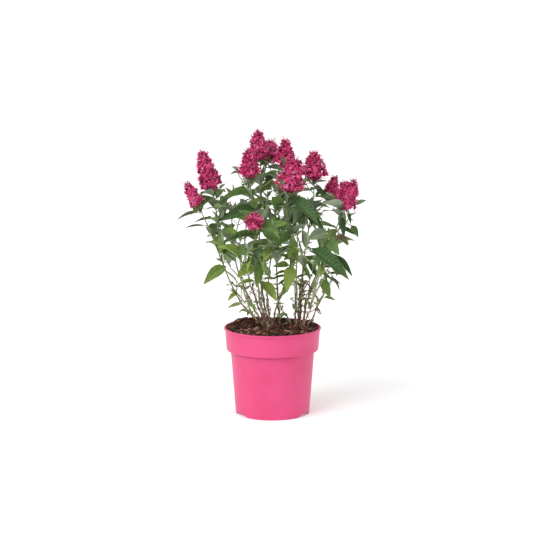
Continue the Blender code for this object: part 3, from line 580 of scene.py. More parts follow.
def makeChips():
    rng = random.Random(litter["seed"])
    paints = [chipPaint(name, colour) for name, colour in barkTints.items()]
    chips = [chipShape(rng) for _ in range(litter["chipShapes"])]
    crumbs = [crumbShape(rng) for _ in range(litter["crumbShapes"])]
    spray = Spray()
    reach = potInnerRadius(soil["top"]) - litter["margin"]
    for number in range(litter["chips"] + litter["crumbs"]):
        isChip = number < litter["chips"]
        radius = reach * math.sqrt(rng.random())
        angle = rng.uniform(0.0, fullTurn)
        if isChip:
            size = Vector([rng.uniform(*sizes) for sizes in litter["chipSizes"]])
            radius = min(radius, reach - size.x * litter["chipOverhang"])
        else:
            size = Vector((1, 1, litter["crumbFlat"])) * rng.uniform(*litter["crumbSize"])
        x, y = radius * math.cos(angle), radius * math.sin(angle)
        lift = rng.uniform(*litter["chipLift" if isChip else "crumbLift"])
        turn = Matrix.Rotation(rng.uniform(0, fullTurn), 3, "Z")
        for axis, tilt in zip("XY", litter["tilts"]):
            turn = turn @ Matrix.Rotation(rng.gauss(0, tilt), 3, axis)
        shape = rng.choice(chips if isChip else crumbs)
        tint = rng.choices(range(len(paints)), litter["tintWeights"])[0]
        place = (x, y, soilHeight(x, y) + lift)
        spray.add(shape, (shape.points * np.array(size)) @ np.array(turn).T + place, [tint])
    finish(spray.make("bark_chips", paints), "compost")


def makeDryStalks():
    paint = Paint("dry stalk", barkTints["tan"], {"Roughness": 0.8, "Specular IOR Level": 0.25})
    curve = newTubes("dry_stalks", litter["stalkSides"], [paint])
    for places in litter["stalks"]:
        line = [Vector((x, y, soilHeight(x, y) + litter["stalkRise"])) for x, y in places]
        line = smoothPath(line, litter["stalkSpacing"])
        addTube(curve, line, [litter["stalkRadius"]] * len(line))
    finish(smoothed(taken(curve), 40), "compost")


makeSoil()
makeChips()
makeDryStalks()
print("compost laid")


# The canes: each one's foot on the compost, its bend, its tip, the radius at its foot, and the
# heights between which its brown bark turns green
canes = {
    "left": ((-0.0165, 0.001), (-0.054, -0.002, 0.198), (-0.083, -0.005, 0.262),
             0.0021, (0.172, 0.205)),
    "left_inner": ((-0.018, 0.013), (-0.040, 0.012, 0.205), (-0.062, 0.016, 0.262),
                   0.0018, (0.18, 0.23)),
    "left_front": ((-0.016, -0.010), (-0.044, -0.028, 0.197), (-0.054, -0.038, 0.243),
                   0.0017, (0.18, 0.22)),
    "middle_left": ((-0.008, 0.000), (-0.031, -0.002, 0.225), (-0.029, -0.006, 0.272),
                    0.0029, (0.19, 0.24)),
    "middle": ((-0.003, 0.010), (-0.013, 0.009, 0.210), (-0.009, 0.002, 0.250),
               0.0021, (0.20, 0.26)),
    "middle_back": ((-0.007, 0.022), (-0.026, 0.030, 0.235), (-0.026, 0.036, 0.305),
                    0.0021, (0.22, 0.29)),
    "middle_right": ((-0.002, -0.008), (0.010, -0.009, 0.225), (0.029, -0.014, 0.270),
                     0.0019, (0.18, 0.23)),
    "low": ((0.036, -0.002), (0.034, -0.003, 0.182), (0.030, -0.005, 0.190),
            0.0014, (0.17, 0.185)),
    "right_front": ((0.046, -0.004), (0.046, -0.008, 0.215), (0.046, -0.020, 0.262),
                    0.0022, (0.235, 0.275)),
    "right_middle": ((0.053, 0.008), (0.057, 0.008, 0.230), (0.059, 0.006, 0.275),
                     0.0027, (0.245, 0.285)),
    "right": ((0.061, 0.000), (0.061, -0.002, 0.222), (0.090, -0.006, 0.284),
              0.0022, (0.22, 0.27)),
    "right_low": ((0.070, 0.009), (0.082, 0.010, 0.192), (0.094, 0.006, 0.224),
                  0.0013, (0.20, 0.235)),
    "front_right": ((0.057, -0.013), (0.075, -0.040, 0.205), (0.082, -0.056, 0.262),
                    0.0016, (0.20, 0.25)),
    "back_left": ((-0.016, 0.034), (-0.036, 0.060, 0.215), (-0.050, 0.076, 0.265),
                  0.0019, (0.20, 0.25)),
    "back": ((0.014, 0.026), (0.010, 0.060, 0.215), (0.008, 0.084, 0.270),
             0.0021, (0.21, 0.26)),
    "back_right": ((0.0505, 0.022), (0.051, 0.050, 0.215), (0.060, 0.078, 0.265),
                   0.0021, (0.24, 0.27)),
}

# Each mass grows on from its cane. A shoot leaves the first one at that share of its length, and
# has its end, the tip of its flower head (or none), the head's width and its leaf pairs' turn.
masses = {
    "left": [
        (0.0, (-0.116, -0.020, 0.443), (-0.137, -0.020, 0.521), 0.045, 0),
        (0.14, (-0.142, -0.036, 0.414), (-0.164, -0.050, 0.461), 0.035, 40),
        (0.50, (-0.092, 0.030, 0.405), None, 0, 20),
        (0.30, (-0.118, 0.040, 0.350), None, 0, 70),
    ],
    "left_inner": [
        (0.0, (-0.082, 0.045, 0.400), None, 0, 30),
        (0.3, (-0.085, 0.078, 0.350), None, 0, 0),
        (0.45, (-0.058, 0.040, 0.410), None, 0, 60),
    ],
    "left_front": [
        (0.0, (-0.062, -0.070, 0.350), None, 0, 10),
        (0.25, (-0.084, -0.078, 0.310), None, 0, 50),
        (0.5, (-0.045, -0.094, 0.338), None, 0, 80),
    ],
    "middle_left": [
        (0.0, (-0.043, -0.048, 0.472), (-0.046, -0.050, 0.522), 0.042, 35),
        (0.82, (-0.067, -0.040, 0.482), None, 0, 0),
        (0.35, (-0.031, -0.124, 0.394), (-0.040, -0.154, 0.404), 0.035, 20),
    ],
    "middle": [
        (0.0, (0.006, -0.036, 0.400), None, 0, 60),
        (0.35, (0.000, -0.086, 0.345), None, 0, 0),
        (0.5, (-0.010, 0.000, 0.430), None, 0, 30),
    ],
    "middle_back": [
        (0.0, (-0.024, 0.030, 0.497), (-0.030, 0.030, 0.556), 0.037, 0),
        (0.70, (-0.010, 0.064, 0.490), (-0.001, 0.080, 0.530), 0.038, 45),
        (0.45, (-0.052, 0.070, 0.430), None, 0, 20),
    ],
    "middle_right": [
        (0.0, (0.031, -0.078, 0.450), (0.046, -0.082, 0.509), 0.055, 30),
        (0.35, (0.023, 0.004, 0.486), (0.026, 0.004, 0.541), 0.042, 0),
        (0.7, (0.010, -0.055, 0.450), None, 0, 60),
    ],
    "low": [
        (0.0, (0.016, -0.010, 0.212), None, 0, 15),
    ],
    "right_front": [
        (0.0, (0.048, -0.060, 0.365), None, 0, 10),
        (0.4, (0.066, -0.105, 0.350), None, 0, 50),
    ],
    "right_middle": [
        (0.0, (0.081, 0.020, 0.460), (0.080, 0.020, 0.515), 0.053, 25),
        (0.60, (0.114, 0.042, 0.422), (0.122, 0.048, 0.460), 0.036, 60),
        (0.45, (0.055, -0.030, 0.420), None, 0, 0),
    ],
    "right": [
        (0.0, (0.138, -0.020, 0.408), (0.158, -0.024, 0.461), 0.043, 55),
        (0.92, (0.135, -0.021, 0.413), (0.139, -0.026, 0.460), 0.036, 20),
        (0.30, (0.128, 0.038, 0.338), None, 0, 20),
        (0.55, (0.150, 0.022, 0.385), None, 0, 0),
    ],
    "right_low": [
        (0.0, (0.116, 0.010, 0.262), None, 0, 45),
    ],
    "front_right": [
        (0.0, (0.094, -0.080, 0.355), None, 0, 40),
        (0.30, (0.118, -0.068, 0.320), None, 0, 0),
    ],
    "back_left": [
        (0.0, (-0.045, 0.105, 0.455), (-0.048, 0.115, 0.508), 0.038, 20),
        (0.35, (-0.090, 0.110, 0.335), None, 0, 60),
        (0.55, (-0.045, 0.100, 0.390), None, 0, 0),
    ],
    "back": [
        (0.0, (0.006, 0.136, 0.322), (0.004, 0.163, 0.352), 0.034, 50),
        (0.45, (0.014, 0.085, 0.410), None, 0, 20),
    ],
    "back_right": [
        (0.0, (0.033, 0.105, 0.433), (0.041, 0.118, 0.484), 0.040, 35),
        (0.35, (0.100, 0.100, 0.340), None, 0, 0),
        (0.55, (0.075, 0.080, 0.405), None, 0, 70),
    ],
}

# The leaves that show best from the front, each at its own place: its mass, root, tip, width, tint
frontLeaves = [
    ("left", (-0.090, -0.010, 0.292), (-0.130, -0.045, 0.266), 0.024, "fresh"),
    ("left", (-0.095, -0.015, 0.327), (-0.072, -0.045, 0.310), 0.021, "mid"),
    ("left", (-0.103, -0.015, 0.355), (-0.103, -0.035, 0.326), 0.019, "fresh"),
    ("left", (-0.120, -0.022, 0.430), (-0.150, -0.052, 0.409), 0.020, "mid"),
    ("left", (-0.139, -0.035, 0.402), (-0.183, -0.040, 0.389), 0.007, "grey"),
    ("left", (-0.109, -0.020, 0.426), (-0.090, -0.035, 0.450), 0.012, "mid"),
    ("left_front", (-0.067, -0.068, 0.333), (-0.046, -0.088, 0.328), 0.016, "mid"),
    ("middle_left", (-0.020, -0.007, 0.262), (0.006, -0.037, 0.231), 0.021, "bright"),
    ("middle_left", (-0.029, -0.012, 0.300), (-0.066, -0.042, 0.279), 0.025, "bright"),
    ("middle_left", (-0.022, -0.014, 0.303), (-0.030, -0.040, 0.262), 0.019, "fresh"),
    ("middle_left", (-0.020, -0.021, 0.342), (0.016, -0.041, 0.329), 0.022, "mid"),
    ("middle_left", (-0.023, -0.021, 0.340), (-0.046, -0.046, 0.315), 0.015, "mid"),
    ("middle_left", (-0.030, -0.039, 0.357), (-0.092, -0.084, 0.352), 0.015, "mid"),
    ("middle_left", (-0.030, -0.040, 0.407), (-0.097, -0.080, 0.394), 0.025, "dark"),
    ("middle_left", (-0.042, -0.046, 0.440), (-0.095, -0.076, 0.436), 0.016, "mid"),
    ("middle", (-0.005, -0.075, 0.352), (0.003, -0.100, 0.409), 0.032, "mid"),
    ("middle_right", (0.015, -0.065, 0.410), (-0.003, -0.095, 0.443), 0.027, "mid"),
    ("middle_right", (0.034, -0.078, 0.437), (0.083, -0.118, 0.394), 0.026, "dark"),
    ("middle_right", (0.032, -0.060, 0.442), (0.011, -0.075, 0.446), 0.018, "dark"),
    ("middle_right", (0.033, -0.025, 0.297), (0.000, -0.045, 0.298), 0.013, "fresh"),
    ("right_middle", (0.043, -0.026, 0.407), (0.032, -0.051, 0.378), 0.023, "dark"),
    ("right_middle", (0.096, 0.017, 0.426), (0.130, 0.002, 0.412), 0.017, "grey"),
    ("right_middle", (0.104, 0.030, 0.423), (0.086, 0.012, 0.441), 0.014, "dark"),
    ("right_front", (0.038, -0.034, 0.298), (0.028, -0.064, 0.259), 0.024, "bright"),
    ("right_front", (0.038, -0.037, 0.304), (0.041, -0.062, 0.364), 0.023, "fresh"),
    ("right_front", (0.036, -0.061, 0.364), (0.005, -0.091, 0.348), 0.022, "mid"),
    ("right_front", (0.073, -0.103, 0.342), (0.138, -0.148, 0.297), 0.025, "dark"),
    ("front_right", (0.103, -0.082, 0.367), (0.066, -0.117, 0.360), 0.025, "grey"),
    ("front_right", (0.102, -0.082, 0.355), (0.124, -0.112, 0.335), 0.022, "mid"),
    ("front_right", (0.119, -0.070, 0.325), (0.149, -0.090, 0.289), 0.012, "dark"),
    ("right", (0.094, -0.007, 0.267), (0.110, -0.037, 0.238), 0.019, "fresh"),
    ("right", (0.132, -0.020, 0.394), (0.137, -0.035, 0.357), 0.012, "dark"),
    ("right", (0.153, 0.009, 0.370), (0.165, -0.006, 0.351), 0.013, "mid"),
    ("right", (0.161, -0.020, 0.414), (0.182, -0.024, 0.425), 0.009, "grey"),
]

# Gaps that show sky from the front, as ellipses: their middle (x, z), half width and half height
clearings = [
    # beside and below the crown
    (-0.180, 0.370, 0.020, 0.025), (-0.165, 0.335, 0.030, 0.022), (-0.135, 0.313, 0.034, 0.024),
    (-0.130, 0.244, 0.050, 0.040), (-0.045, 0.240, 0.026, 0.036), (0.022, 0.232, 0.027, 0.032),
    (0.155, 0.240, 0.044, 0.034), (0.170, 0.311, 0.031, 0.022), (0.182, 0.358, 0.014, 0.024),
    (-0.080, 0.460, 0.020, 0.016), (0.160, 0.386, 0.014, 0.009), (0.136, 0.318, 0.009, 0.018),
    # in its left half
    (-0.135, 0.395, 0.019, 0.006), (-0.137, 0.374, 0.015, 0.005), (-0.124, 0.352, 0.010, 0.006),
    (-0.112, 0.306, 0.012, 0.020), (-0.088, 0.376, 0.009, 0.006), (-0.079, 0.282, 0.012, 0.012),
    (-0.073, 0.335, 0.021, 0.007), (-0.071, 0.422, 0.021, 0.008), (-0.060, 0.302, 0.014, 0.010),
    (-0.057, 0.368, 0.013, 0.011), (-0.051, 0.333, 0.010, 0.006), (-0.016, 0.352, 0.007, 0.009),
    (-0.005, 0.430, 0.015, 0.008),
    # in its right half
    (0.003, 0.396, 0.012, 0.003), (0.011, 0.288, 0.016, 0.020), (0.022, 0.393, 0.008, 0.008),
    (0.051, 0.354, 0.008, 0.010), (0.060, 0.315, 0.018, 0.008), (0.061, 0.278, 0.018, 0.016),
    (0.069, 0.429, 0.008, 0.006), (0.070, 0.364, 0.010, 0.012), (0.080, 0.335, 0.010, 0.010),
    (0.114, 0.382, 0.011, 0.012), (0.147, 0.384, 0.008, 0.014),
]

# The rule that the crown grows by, with the CAD model's seed, so that each leaf stands where its
# plain one does: twigs, then the leaf pairs up them, then the crown's outline and the flower heads
rule = {
    "seed": 100, "gap": 0.0003, "clearance": 0.0006, "flareHeight": 0.005, "canePoints": 9,
    "twigRadius": 0.0015, "twigEndRadius": 0.001, "forkShare": 0.85, "shootSteps": 6,
    "shootUpturn": 0.05, "sprigSteps": 2, "sprigLength": 0.045, "sprigLengths": (0.7, 1.2),
    "sprigEvery": 0.055, "sprigPlaces": (0.3, 0.9), "sprigSpread": (0.8, 1.3), "sprigUpturn": 0.5,
    "sprigScale": 0.62, "sprigOuter": 0.25,
    "spacing": 0.028, "leafLength": 0.080, "leafShares": {"low": 0.32, "right_low": 0.45},
    "leafEndShare": 0.58, "leafSizes": (0.8, 1.12), "leafSwing": 22.0, "leafRise": (0.2, 0.8),
    "leafDroop": (0.05, 0.45), "leafTries": 4, "leafWidth": 0.36, "leafThick": 0.013,
    "leafWidest": 0.45, "leafFold": 0.02, "stalk": 0.004, "stalkWidth": 0.0026,
    "stalkDepth": 0.0018, "sunk": 0.0006, "upwardPull": 0.8, "steepest": 0.97,
    "crownRadius": 0.184, "crownFoot": 0.190, "crownFootRadius": 0.090, "crownSlope": 0.65,
    "headSides": 9, "headRings": 7, "headLumps": 0.10, "headShoulder": 0.16, "headNeck": 0.88,
    "headTipShare": 0.58, "headStemShare": 0.4,
    "frontDroop": 0.15, "frontUpward": (0.0, -0.8, 0.6), "frontReach": 0.0035,
    "frontShifts": (0.0, -0.008, 0.008, -0.016, 0.016, -0.024), "sightFall": 0.172,
    "sightPlaces": (0.3, 0.55, 0.8, 1.0), "leafFloor": 0.268, "frontStart": 6, "frontSteps": 48,
}
sprigRadii = (rule["twigEndRadius"], rule["twigEndRadius"] * rule["forkShare"])


def canePath(foot, bend, tip):
    start = Vector((foot[0], foot[1], soil["top"] + rule["gap"]))
    rise = start + sky * rule["flareHeight"]
    bend, tip = Vector(bend), Vector(tip)
    points = [start]
    for step in range(rule["canePoints"] - 1):
        t = step / (rule["canePoints"] - 2)
        points.append(rise * (1 - t) ** 2 + bend * 2 * t * (1 - t) + tip * t * t)
    return points


def loft(sections):
    # a closed mesh through sections of three points, or of one point where it ends sharp
    bm = bmesh.new()
    rings = [[bm.verts.new(point) for point in section] for section in sections]
    for ring in (rings[0], rings[-1]):
        if len(ring) == 3:
            bm.faces.new(ring)
    for lower, upper in zip(rings, rings[1:]):
        for n in range(3):
            corners = [lower[n % len(lower)], lower[(n + 1) % len(lower)]]
            corners += [upper[(n + 1) % len(upper)], upper[n % len(upper)]]
            bm.faces.new(list(dict.fromkeys(corners)))
    return bm


def twigSections(points, firstRadius, lastRadius):
    sections = []
    one, _ = across((points[1] - points[0]).normalized())
    corners = [fullTurn * n / 3 for n in range(3)]
    for number, point in enumerate(points):
        ahead = (points[min(number + 1, len(points) - 1)] - points[max(number - 1, 0)]).normalized()
        one = (one - ahead * one.dot(ahead)).normalized()
        two = ahead.cross(one)
        radius = firstRadius + (lastRadius - firstRadius) * number / (len(points) - 1)
        sections.append([point + (one * math.cos(a) + two * math.sin(a)) * radius for a in corners])
    return sections


def inCrown(point):
    reach = rule["crownFootRadius"] + rule["crownSlope"] * (point.z - rule["crownFoot"])
    return math.hypot(point.x, point.y) < min(reach, rule["crownRadius"])


def seenPlace(point):
    # where the point shows, from the front, on the upright plane of the canes
    share = view["distance"] / (view["distance"] + point.y)
    return (view["aside"] + (point.x - view["aside"]) * share,
            view["height"] + (point.z - view["height"]) * share)


def hidesGap(points, lowest=0.0):
    for point in points:
        x, z = seenPlace(point)
        if z < lowest or any(((x - a) / w) ** 2 + ((z - b) / h) ** 2 < 1
                             for a, b, w, h in clearings):
            return True
    return False


def leafSections(root, heading, upward, length, droop, width, spare):
    aside = heading.cross(upward).normalized()
    face = aside.cross(heading).normalized()
    thick, fold = length * rule["leafThick"], rule["leafFold"]
    rings = ((rule["stalk"], rule["stalkWidth"], rule["stalkDepth"], 0.0),
             (length * rule["leafWidest"], width, thick, fold))
    sections = [[root - heading * (rule["sunk"] + spare)]]
    for reach, ringWidth, depth, ringFold in rings:
        middle = root + heading * reach - sky * droop * reach ** 2 / length
        edge = middle + face * (spare + length * ringFold)
        half = aside * (ringWidth / 2 + spare)
        sections.append([edge + half, edge - half, middle - face * (depth + spare)])
    sections.append([root + heading * (length + spare) - sky * length * droop])
    return sections


def headSwell(share):
    # the radius of a flower head along its length, as a share of its widest
    if share < rule["headShoulder"]:
        return math.sqrt(share / rule["headShoulder"])
    if share < rule["headNeck"]:
        fall = (share - rule["headShoulder"]) / (rule["headNeck"] - rule["headShoulder"])
        return 1 - (1 - rule["headTipShare"]) * fall
    return rule["headTipShare"] * math.sqrt(max(0.0, (1 - share) / (1 - rule["headNeck"])))


def headBody(base, tip, width, rng):
    # the plain head, which the leaves keep clear of
    axis = tip - base
    bm = bmesh.new()
    bmesh.ops.create_uvsphere(bm, u_segments=rule["headSides"], v_segments=rule["headRings"],
                              radius=1.0)
    for vert in bm.verts:
        share = 1 - math.acos(max(-1.0, min(1.0, vert.co.z))) / math.pi
        turn = math.atan2(vert.co.y, vert.co.x)
        radius = width / 2 * headSwell(share) * (1 + rule["headLumps"] * rng.uniform(-1.0, 1.0))
        vert.co = base + axis * share + sideways(axis.normalized(), turn) * radius
    return bm


def boxOf(bm):
    points = np.array([vert.co[:] for vert in bm.verts])
    return points.min(axis=0), points.max(axis=0)


class Space:
    # what stands in the crown so far, node by node, for a new piece to keep clear of
    def __init__(self):
        self.solids = []
        self.lines = []

    def add(self, node, bm):
        self.solids.append((node, BVHTree.FromBMesh(bm), *boxOf(bm)))
        bm.free()

    def addLine(self, node, points):
        self.lines += [(node, point) for point in points]

    def isFree(self, node, whole, blade=None):
        # whether the whole piece meets no other node's solid, and its blade none of its own node's
        wholeTree = BVHTree.FromBMesh(whole)
        bladeTree = BVHTree.FromBMesh(blade) if blade else None
        low, high = boxOf(whole)
        for other, otherTree, otherLow, otherHigh in self.solids:
            tree = bladeTree if other == node else wholeTree
            if tree is None or (low > otherHigh).any() or (otherLow > high).any():
                continue
            if tree.overlap(otherTree):
                return False
        return True

    def owner(self, point):
        return min(self.lines, key=lambda line: (line[1] - point).length_squared)[0]


class Leaf:
    def __init__(self, root, heading, upward, length, droop, width, tint=None, kind="leaf"):
        self.root, self.heading, self.upward = root, heading, upward
        self.length, self.droop, self.width = length, droop, width
        self.tint, self.kind = tint, kind

    def sections(self, spare=0.0):
        return leafSections(self.root, self.heading, self.upward, self.length, self.droop,
                            self.width, spare)


def leafNodes(points, scale):
    # the number, share, root and heading of each place up a shoot where a leaf pair stands
    count = max(2, round(lengthOf(points) / (rule["spacing"] * (1 + scale) / 2)))
    for number in range(count):
        share = (number + 0.5) / count
        yield (number, share, *pointAlong(points, share))


class Mass:
    # the shoots that grow on from a cane, and what they bear
    def __init__(self, name, path, number):
        self.name, self.node = name, "foliage_" + name
        self.leafLength = rule["leafLength"] * rule["leafShares"].get(name, 1.0)
        self.rng = random.Random(rule["seed"] + number)
        self.tip, self.lean = path[-1], (path[-1] - path[-2]).normalized()
        self.shoots, self.heads, self.leaves, self.twigs = [], [], [], []
        self.twiglets, self.sideStems, self.bareTwigs, self.longTwigs = [], [], [], []

    def addTwig(self, space, bm, path, radii):
        space.add(self.node, bm)
        space.addLine(self.node, path)
        self.twigs.append((path, *radii))

    def addLeaf(self, space, leaf):
        space.add(self.node, loft(leaf.sections()))
        self.leaves.append(leaf)

    def growShoots(self, space):
        main = None
        for fork, end, head, width, turn in masses[self.name]:
            end = Vector(end)
            start, lean, radius = self.tip + self.lean * rule["gap"], self.lean, rule["twigRadius"]
            if main:
                start, lean = pointAlong(main, fork)
                lean += (end - start).normalized()
                radius *= rule["forkShare"]
            arrival = (Vector(head) - end) if head else (end - start) + sky * rule["shootUpturn"]
            points = curveBetween(start, lean, end, arrival, rule["shootSteps"])
            stem = points + [end.lerp(Vector(head), rule["headStemShare"])] if head else points
            radii = (radius, rule["twigEndRadius"])
            bm = loft(twigSections(stem, *radii))
            if main and not space.isFree(self.node, bm):
                continue
            self.addTwig(space, bm, stem, radii)
            self.shoots.append((points, turn, 1.0, bool(head)))
            main = main or points
            if head:
                self.heads.append((end, Vector(head), width))
                space.add(self.node, headBody(end, Vector(head), width, self.rng))

    def growFrontLeaf(self, space, root, tip, width, tint):
        # a leaf at its own place, on a twig from the nearest shoot, moved along the sight line
        # where something stands in its way
        droop = rule["frontDroop"]
        for shift in rule["frontShifts"]:
            back = Vector((0.0, shift, -rule["sightFall"] * shift))
            start, along = self.nearestShoot(root + back)
            here = root + back if (root + back - start).length > rule["frontReach"] else start
            if here is not start:
                path = curveBetween(start, along + (here - start).normalized(), here, tip - root,
                                    rule["sprigSteps"])
                twig = loft(twigSections(path, *sprigRadii))
                if not space.isFree(self.node, twig):
                    continue
            reach = tip + back - here
            heading = (reach + sky * droop * reach.length).normalized()
            upward = Vector(rule["frontUpward"])
            leaf = Leaf(here, heading, upward, reach.length, droop, width, tint)
            if space.isFree(self.node, loft(leaf.sections(rule["clearance"]))):
                if here is not start:
                    self.addTwig(space, twig, path, sprigRadii)
                self.addLeaf(space, leaf)
                return True
        return False

    def nearestShoot(self, place):
        # the nearest point of the shoots, the lower ones first, and the shoot's heading there
        best = None
        for number, (points, _, _, _) in enumerate(self.shoots):
            for step in range(0 if number else rule["frontStart"], rule["frontSteps"]):
                here, along = pointAlong(points, step / rule["frontSteps"])
                cost = (here - place).length + max(0.0, here.z - place.z)
                if best is None or cost < best[0]:
                    best = (cost, here, along)
        return best[1:]

    def growSprigs(self, space):
        for points, _, _, _ in list(self.shoots):
            length = lengthOf(points)
            for number in range(int(length / rule["sprigEvery"])):
                place = number + self.rng.uniform(*rule["sprigPlaces"])
                start, along = pointAlong(points, place * rule["sprigEvery"] / length)
                aside = sideways(along, self.rng.uniform(0.0, fullTurn))
                heading = (along + aside * self.rng.uniform(*rule["sprigSpread"])).normalized()
                end = start + (heading * rule["sprigLength"]
                               * self.rng.uniform(*rule["sprigLengths"]))
                path = curveBetween(start, heading, end, heading + sky * rule["sprigUpturn"],
                                    rule["sprigSteps"])
                outer = [path[0].lerp(path[1], rule["sprigOuter"]), *path[1:]]
                whole, blade = (loft(twigSections(line, *sprigRadii)) for line in (path, outer))
                if not hidesGap(path[1:]) and space.isFree(self.node, whole, blade):
                    turn = self.rng.uniform(0, 90)
                    self.shoots.append((path, turn, rule["sprigScale"], False))
                    self.addTwig(space, whole, path, sprigRadii)

    def growLeaves(self, space):
        for points, turn, scale, _ in self.shoots:
            for number, share, root, along in leafNodes(points, scale):
                size = self.leafLength * scale * (1 - (1 - rule["leafEndShare"]) * share)
                for side in (0, 180):
                    for _ in range(rule["leafTries"]):
                        if self.tryLeaf(space, root, along, turn + 90 * number + side, size):
                            break

    def tryLeaf(self, space, root, along, turn, size):
        swing = self.rng.uniform(-rule["leafSwing"], rule["leafSwing"])
        heading = aimed(along, turn + swing, self.rng.uniform(*rule["leafRise"]))
        droop = self.rng.uniform(*rule["leafDroop"])
        length = size * self.rng.uniform(*rule["leafSizes"])
        upward = (along + sky * rule["upwardPull"]).normalized()
        leaf = Leaf(root, heading, upward, length, droop, length * rule["leafWidth"])
        sections = leaf.sections(rule["clearance"])
        if abs(heading.dot(upward)) > rule["steepest"] or not inCrown(sections[-1][0]):
            return False
        places = [root + (heading - sky * droop * share) * length * share
                  for share in rule["sightPlaces"]]
        lowest = 0.0 if self.name in rule["leafShares"] else rule["leafFloor"]
        if hidesGap(places + sections[2][:2], lowest):
            return False
        if space.owner(root + heading * length / 2) != self.node:
            return False
        free = space.isFree(self.node, loft(sections), loft(sections[1:]))
        if free:
            self.addLeaf(space, leaf)
        return free


def growPlaced(space, crown, leaves):
    named = {mass.name: mass for mass in crown}
    for name, root, tip, width, tint in leaves:
        if not named[name].growFrontLeaf(space, Vector(root), Vector(tip), width, tint):
            print("no room for the leaf of", name, "at", root)


def growCrown():
    space = Space()
    crown = []
    for number, (name, (foot, bend, tip, _, _)) in enumerate(canes.items()):
        bm = bmesh.new()
        bm.from_mesh(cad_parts["cane_" + name].data)
        space.add("cane_" + name, bm)
        crown.append(Mass(name, canePath(foot, bend, tip), number))
    for mass in crown:
        mass.growShoots(space)
    growPlaced(space, crown, frontLeaves)
    for mass in crown:
        mass.growSprigs(space)
    for mass in crown:
        mass.growLeaves(space)
    return space, crown


space, crown = growCrown()
print("crown grown:", sum(len(mass.leaves) for mass in crown), "leaves on",
      sum(len(mass.twigs) for mass in crown), "twigs")


# Finer growth, which the solids leave out: short twigs in the leaf axils with a pair of leaflets,
# tufts of young leaves on the shoots' ends, and bracts under the flower heads
finer = {
    "seed": 500, "spare": 0.0003, "radius": 0.0006, "upright": 0.8, "flattest": 0.2,
    "axilShare": 0.62, "twigLength": (0.005, 0.020), "twigSwing": 14, "twigRise": (0.6, 1.4),
    "twigUpturn": 0.6, "twigSteps": 3, "leafletLean": (0.5, 1.1), "leastSmall": 0.5,
    "bracts": 6, "bractDepth": (0.001, 0.012), "bractSwing": 20, "bractRise": (-0.1, 0.5),
    "tuftPairs": 3, "tuftGap": 0.003, "tuftSwing": 10, "leastTuft": 0.6,
    # above this height a mass's second top head hides what grows before it
    "bareAbove": {"middle_back": 0.508},
}

# Each sort's length, width, droop, and the length from which it keeps out of the gaps
leaflets = {
    "leaflet": ((0.012, 0.030), 0.30, (0.0, 0.35), 0.0),
    "bract": ((0.010, 0.022), 0.24, (0.1, 0.5), 1.0),
    "tuft": ((0.014, 0.030), 0.25, (0.0, 0.2), 1.0),
    "low": ((0.008, 0.032), 0.36, (0.0, 0.4), 0.020),
}


def growLeaflet(space, mass, kind, root, heading, rng, *shares):
    lengths, width, droops, tested = leaflets[kind]
    length = math.prod([rng.uniform(*lengths), *shares])
    droop = rng.uniform(*droops)
    steep = abs(heading.z) >= finer["upright"]
    upward = across(heading)[0] if steep else (heading + sky).normalized()
    leaflet = Leaf(root, heading, upward, length, droop, length * width, None, kind)
    sections = leaflet.sections(finer["spare"])
    if heading.cross(upward).length < finer["flattest"] or not inCrown(sections[-1][0]):
        return False
    if root.z > finer["bareAbove"].get(mass.name, 1.0):
        return False
    if length > tested and hidesGap([sections[-1][0], *sections[2]]):
        return False
    own = "cane_" + mass.name if kind == "low" else mass.node
    free = space.isFree(own, loft(sections), loft(sections[1:]))
    if free:
        mass.addLeaf(space, leaflet)
    return free


def growAxils(space, mass, shoot, rng, small):
    points, turn, scale, _ = shoot
    for node, _, root, along in leafNodes(points, scale):
        for side in (0, 180):
            if rng.random() > finer["axilShare"]:
                continue
            toward = turn + 90 * node + side + rng.gauss(0, finer["twigSwing"])
            heading = aimed(along, toward, rng.uniform(*finer["twigRise"]))
            tip = root + heading * rng.uniform(*finer["twigLength"]) * (0.5 + scale / 2)
            path = curveBetween(root, heading, tip, heading + sky * finer["twigUpturn"],
                                finer["twigSteps"])
            grown = 0
            for beside in (-1, 1):
                lean = heading * rng.uniform(*finer["leafletLean"])
                aim = (lean + beside * aimed(heading, rng.uniform(0, 360), 0.0)).normalized()
                grown += growLeaflet(space, mass, "leaflet", path[-1], aim, rng,
                                     0.55 + scale * 0.45, max(small, finer["leastSmall"]))
            if grown:
                mass.twiglets.append(path)


def growBracts(space, mass, end, along, rng):
    for number in range(finer["bracts"]):
        root = end - along * rng.uniform(*finer["bractDepth"])
        toward = 360 * number / finer["bracts"] + rng.gauss(0, finer["bractSwing"])
        heading = aimed(along, toward, rng.uniform(*finer["bractRise"]))
        growLeaflet(space, mass, "bract", root, heading, rng)


def growTuft(space, mass, shoot, end, along, rng, small):
    # the young pairs stand closer, steeper and smaller towards the end
    _, turn, scale, _ = shoot
    for pair in range(finer["tuftPairs"]):
        for side in (0, 180):
            root = end - along * finer["tuftGap"] * (finer["tuftPairs"] - 1 - pair)
            toward = turn + 90 * pair + side + rng.gauss(0, finer["tuftSwing"])
            heading = aimed(along, toward, 0.6 + 0.9 * pair)
            growLeaflet(space, mass, "tuft", root, heading, rng, 1.1 - 0.28 * pair,
                        0.5 + scale / 2, max(small, finer["leastTuft"]))


def growFiner(space, mass, number):
    rng = random.Random(finer["seed"] + number)
    small = mass.leafLength / rule["leafLength"]
    for shoot in mass.shoots:
        growAxils(space, mass, shoot, rng, small)
        points, _, _, flowering = shoot
        end, along = points[-1], (points[-1] - points[-2]).normalized()
        if flowering:
            growBracts(space, mass, end, along, rng)
        else:
            growTuft(space, mass, shoot, end, along, rng, small)


